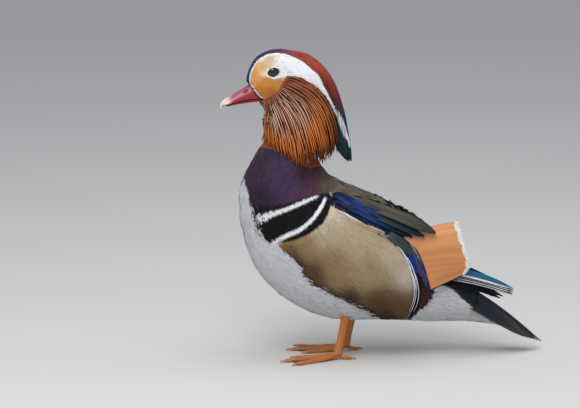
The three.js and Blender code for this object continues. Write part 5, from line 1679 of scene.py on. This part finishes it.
def web_sheet(a, b):
    """The web between two toes, hollow at its front edge, with a fine crinkle."""
    steps = 26
    out, across = np.meshgrid(np.linspace(0, 1, steps), np.linspace(0, 1, steps), indexing="ij")
    turn = a[0] + (b[0] - a[0]) * across
    length = (a[1] + (b[1] - a[1]) * across) * 0.93
    far = 3 + (length * (1 - 0.14 * np.sin(math.pi * across)) - 3) * out
    rise = 4.2 + (1.9 - 4.2) * np.minimum(1, out * 1.6)
    rise = rise + 0.22 * np.sin(math.pi * across) * np.sin(far * 1.7 + 2 * np.sin(across * 6)) * (1 - out * 0.5)
    spots = np.stack([np.cos(turn) * far, np.sin(turn) * far, rise], -1).reshape(-1, 3)
    under = spots - np.array([0, 0, 0.8])
    count = steps * steps
    sheet = grid_faces(steps, steps)
    rim = list(range(steps)) + [i * steps + steps - 1 for i in range(1, steps)]
    rim += [(steps - 1) * steps + j for j in range(steps - 2, -1, -1)] + [i * steps for i in range(steps - 2, 0, -1)]
    faces = list(sheet) + [tuple(v + count for v in f[::-1]) for f in sheet]
    faces += [(p, p + count, q + count, q) for p, q in zip(rim, rim[1:] + rim[:1])]
    grain = 0.5 + 0.5 * np.sin(far * 2.6 + 3 * np.sin(across * 7))
    tone = over(np.repeat(linear(WEB_GREY)[None], count, 0), linear((70, 64, 60)), grain.ravel() * 0.5)
    tone = over(tone, linear((150, 100, 60)), (smooth(0.25, 0.0, across) + smooth(0.75, 1.0, across)).ravel() * 0.6)
    return np.vstack([spots, under]), faces, np.vstack([tone, tone])


def foot_parts():
    parts = []
    for turn, length, knuckles, base in TOES:
        shares = np.linspace(0, 1, 2 * knuckles + 1)
        rise = 1.5 + (TOE_JOINT - 1.5) * (1 - shares) ** 2.5
        path = np.stack([math.cos(turn) * length * shares, math.sin(turn) * length * shares, rise], 1)
        swell = np.where(np.arange(len(shares)) % 2 == 1, 1.12, 0.93)
        radius = (base + (TOE_TIP - base) * shares) * swell
        rings = int(length * 2.6)
        parts.append(limb(path, np.stack([radius, radius], 1), (0, 0, 1), rings, 20, 1.9))
        reach = np.array([-1.6, 1.0, 3.0, CLAW_LENGTH - 0.8]) + length
        claw = np.stack([np.cos(turn) * reach, np.sin(turn) * reach, np.array([1.6, 1.9, 1.5, 0.5])], 1)
        size = np.array([1.0, 1.0, 0.7, 0.12])
        points, faces, tone = limb(claw, np.stack([size, size * 0.8], 1), (0, 0, 1), 14, 12, 400.0)
        parts.append((points, faces, np.repeat(linear(CLAW_HORN)[None], len(points), 0)))
    parts.append(web_sheet(TOES[0], TOES[1]))
    parts.append(web_sheet(TOES[1], TOES[2]))
    cos, sin = math.cos(FOOT_TURN), math.sin(FOOT_TURN)
    swing = np.array([[cos, sin, 0], [-sin, cos, 0], [0, 0, 1]])
    return [(points @ swing, faces, tone) for points, faces, tone in parts]


def leg_parts():
    path = np.array([row[:3] for row in SHANK], float)
    radii = np.array([row[3:] for row in SHANK], float)
    return [limb(path, radii, (1, 0, 0.2), 130, 36, SCALE_STEP)] + foot_parts()


for side, ankle in ANKLES.items():
    sign = 1 if side == "left" else -1
    points, faces, tones, count = [], [], [], 0
    for spots, sides, tone in leg_parts():
        spots = spots * np.array([1, sign, 1]) + np.array([ankle, sign * FOOT_SPREAD, 0])
        spots[:, 2] = np.maximum(spots[:, 2], 0.02)
        points.append(spots)
        faces += [tuple(v + count for v in (f if side == "left" else f[::-1])) for f in sides]
        tones.append(tone)
        count += len(spots)
    leg = (np.vstack(points), faces)
    solid_piece(f"leg_scales_{side}", leg, np.vstack(tones), LEG_HORN, [f"leg_{side}", f"foot_{side}"])

# Floor, light and camera
FLOOR = 60
floor = plain_object("floor", [(-FLOOR, -FLOOR, 0), (FLOOR, -FLOOR, 0), (FLOOR, FLOOR, 0), (-FLOOR, FLOOR, 0)], [(0, 1, 2, 3)])
pale = bpy.data.materials.new("floor_pale")
pale.use_nodes = True
pale.node_tree.nodes["Principled BSDF"].inputs["Base Color"].default_value = (0.62, 0.61, 0.59, 1)
pale.node_tree.nodes["Principled BSDF"].inputs["Roughness"].default_value = 0.9
floor.data.materials.append(pale)

world = bpy.data.worlds.new("studio")
world.use_nodes = True
world.node_tree.nodes["Background"].inputs["Color"].default_value = (0.88, 0.92, 1.0, 1)
world.node_tree.nodes["Background"].inputs["Strength"].default_value = 0.5
bpy.context.scene.world = world
bpy.context.scene.view_settings.view_transform = "Standard"


def lamp(name, at, aim, size, power, colour):
    data = bpy.data.lights.new(name, "AREA")
    data.size = size
    data.energy = power
    data.color = colour
    made = bpy.data.objects.new(name, data)
    made.location = at
    made.rotation_mode = "QUATERNION"
    made.rotation_quaternion = (Vector(aim) - Vector(at)).to_track_quat("-Z", "Y")
    bpy.context.scene.collection.objects.link(made)


lamp("key", (0.5, 1.1, 1.4), (0, 0, 0.15), 1.0, 19, (1.0, 0.98, 0.95))
lamp("top", (-0.3, 0.1, 1.8), (0, 0, 0.1), 1.4, 12, (0.95, 0.97, 1.0))

CAMERA_FAR = 2.8
VIEW_ACROSS = 0.5394
target = Vector((0.0826, -0.0289, 0.1387))
camera_data = bpy.data.cameras.new("camera")
camera_data.sensor_width = 36
camera_data.lens = 36 * CAMERA_FAR / VIEW_ACROSS
camera = bpy.data.objects.new("camera", camera_data)
camera.location = target + Vector(VIEW_OUT.tolist()) * CAMERA_FAR
camera.rotation_mode = "QUATERNION"
camera.rotation_quaternion = Vector((-VIEW_OUT).tolist()).to_track_quat("-Z", "Y")
bpy.context.scene.collection.objects.link(camera)
bpy.context.scene.camera = camera
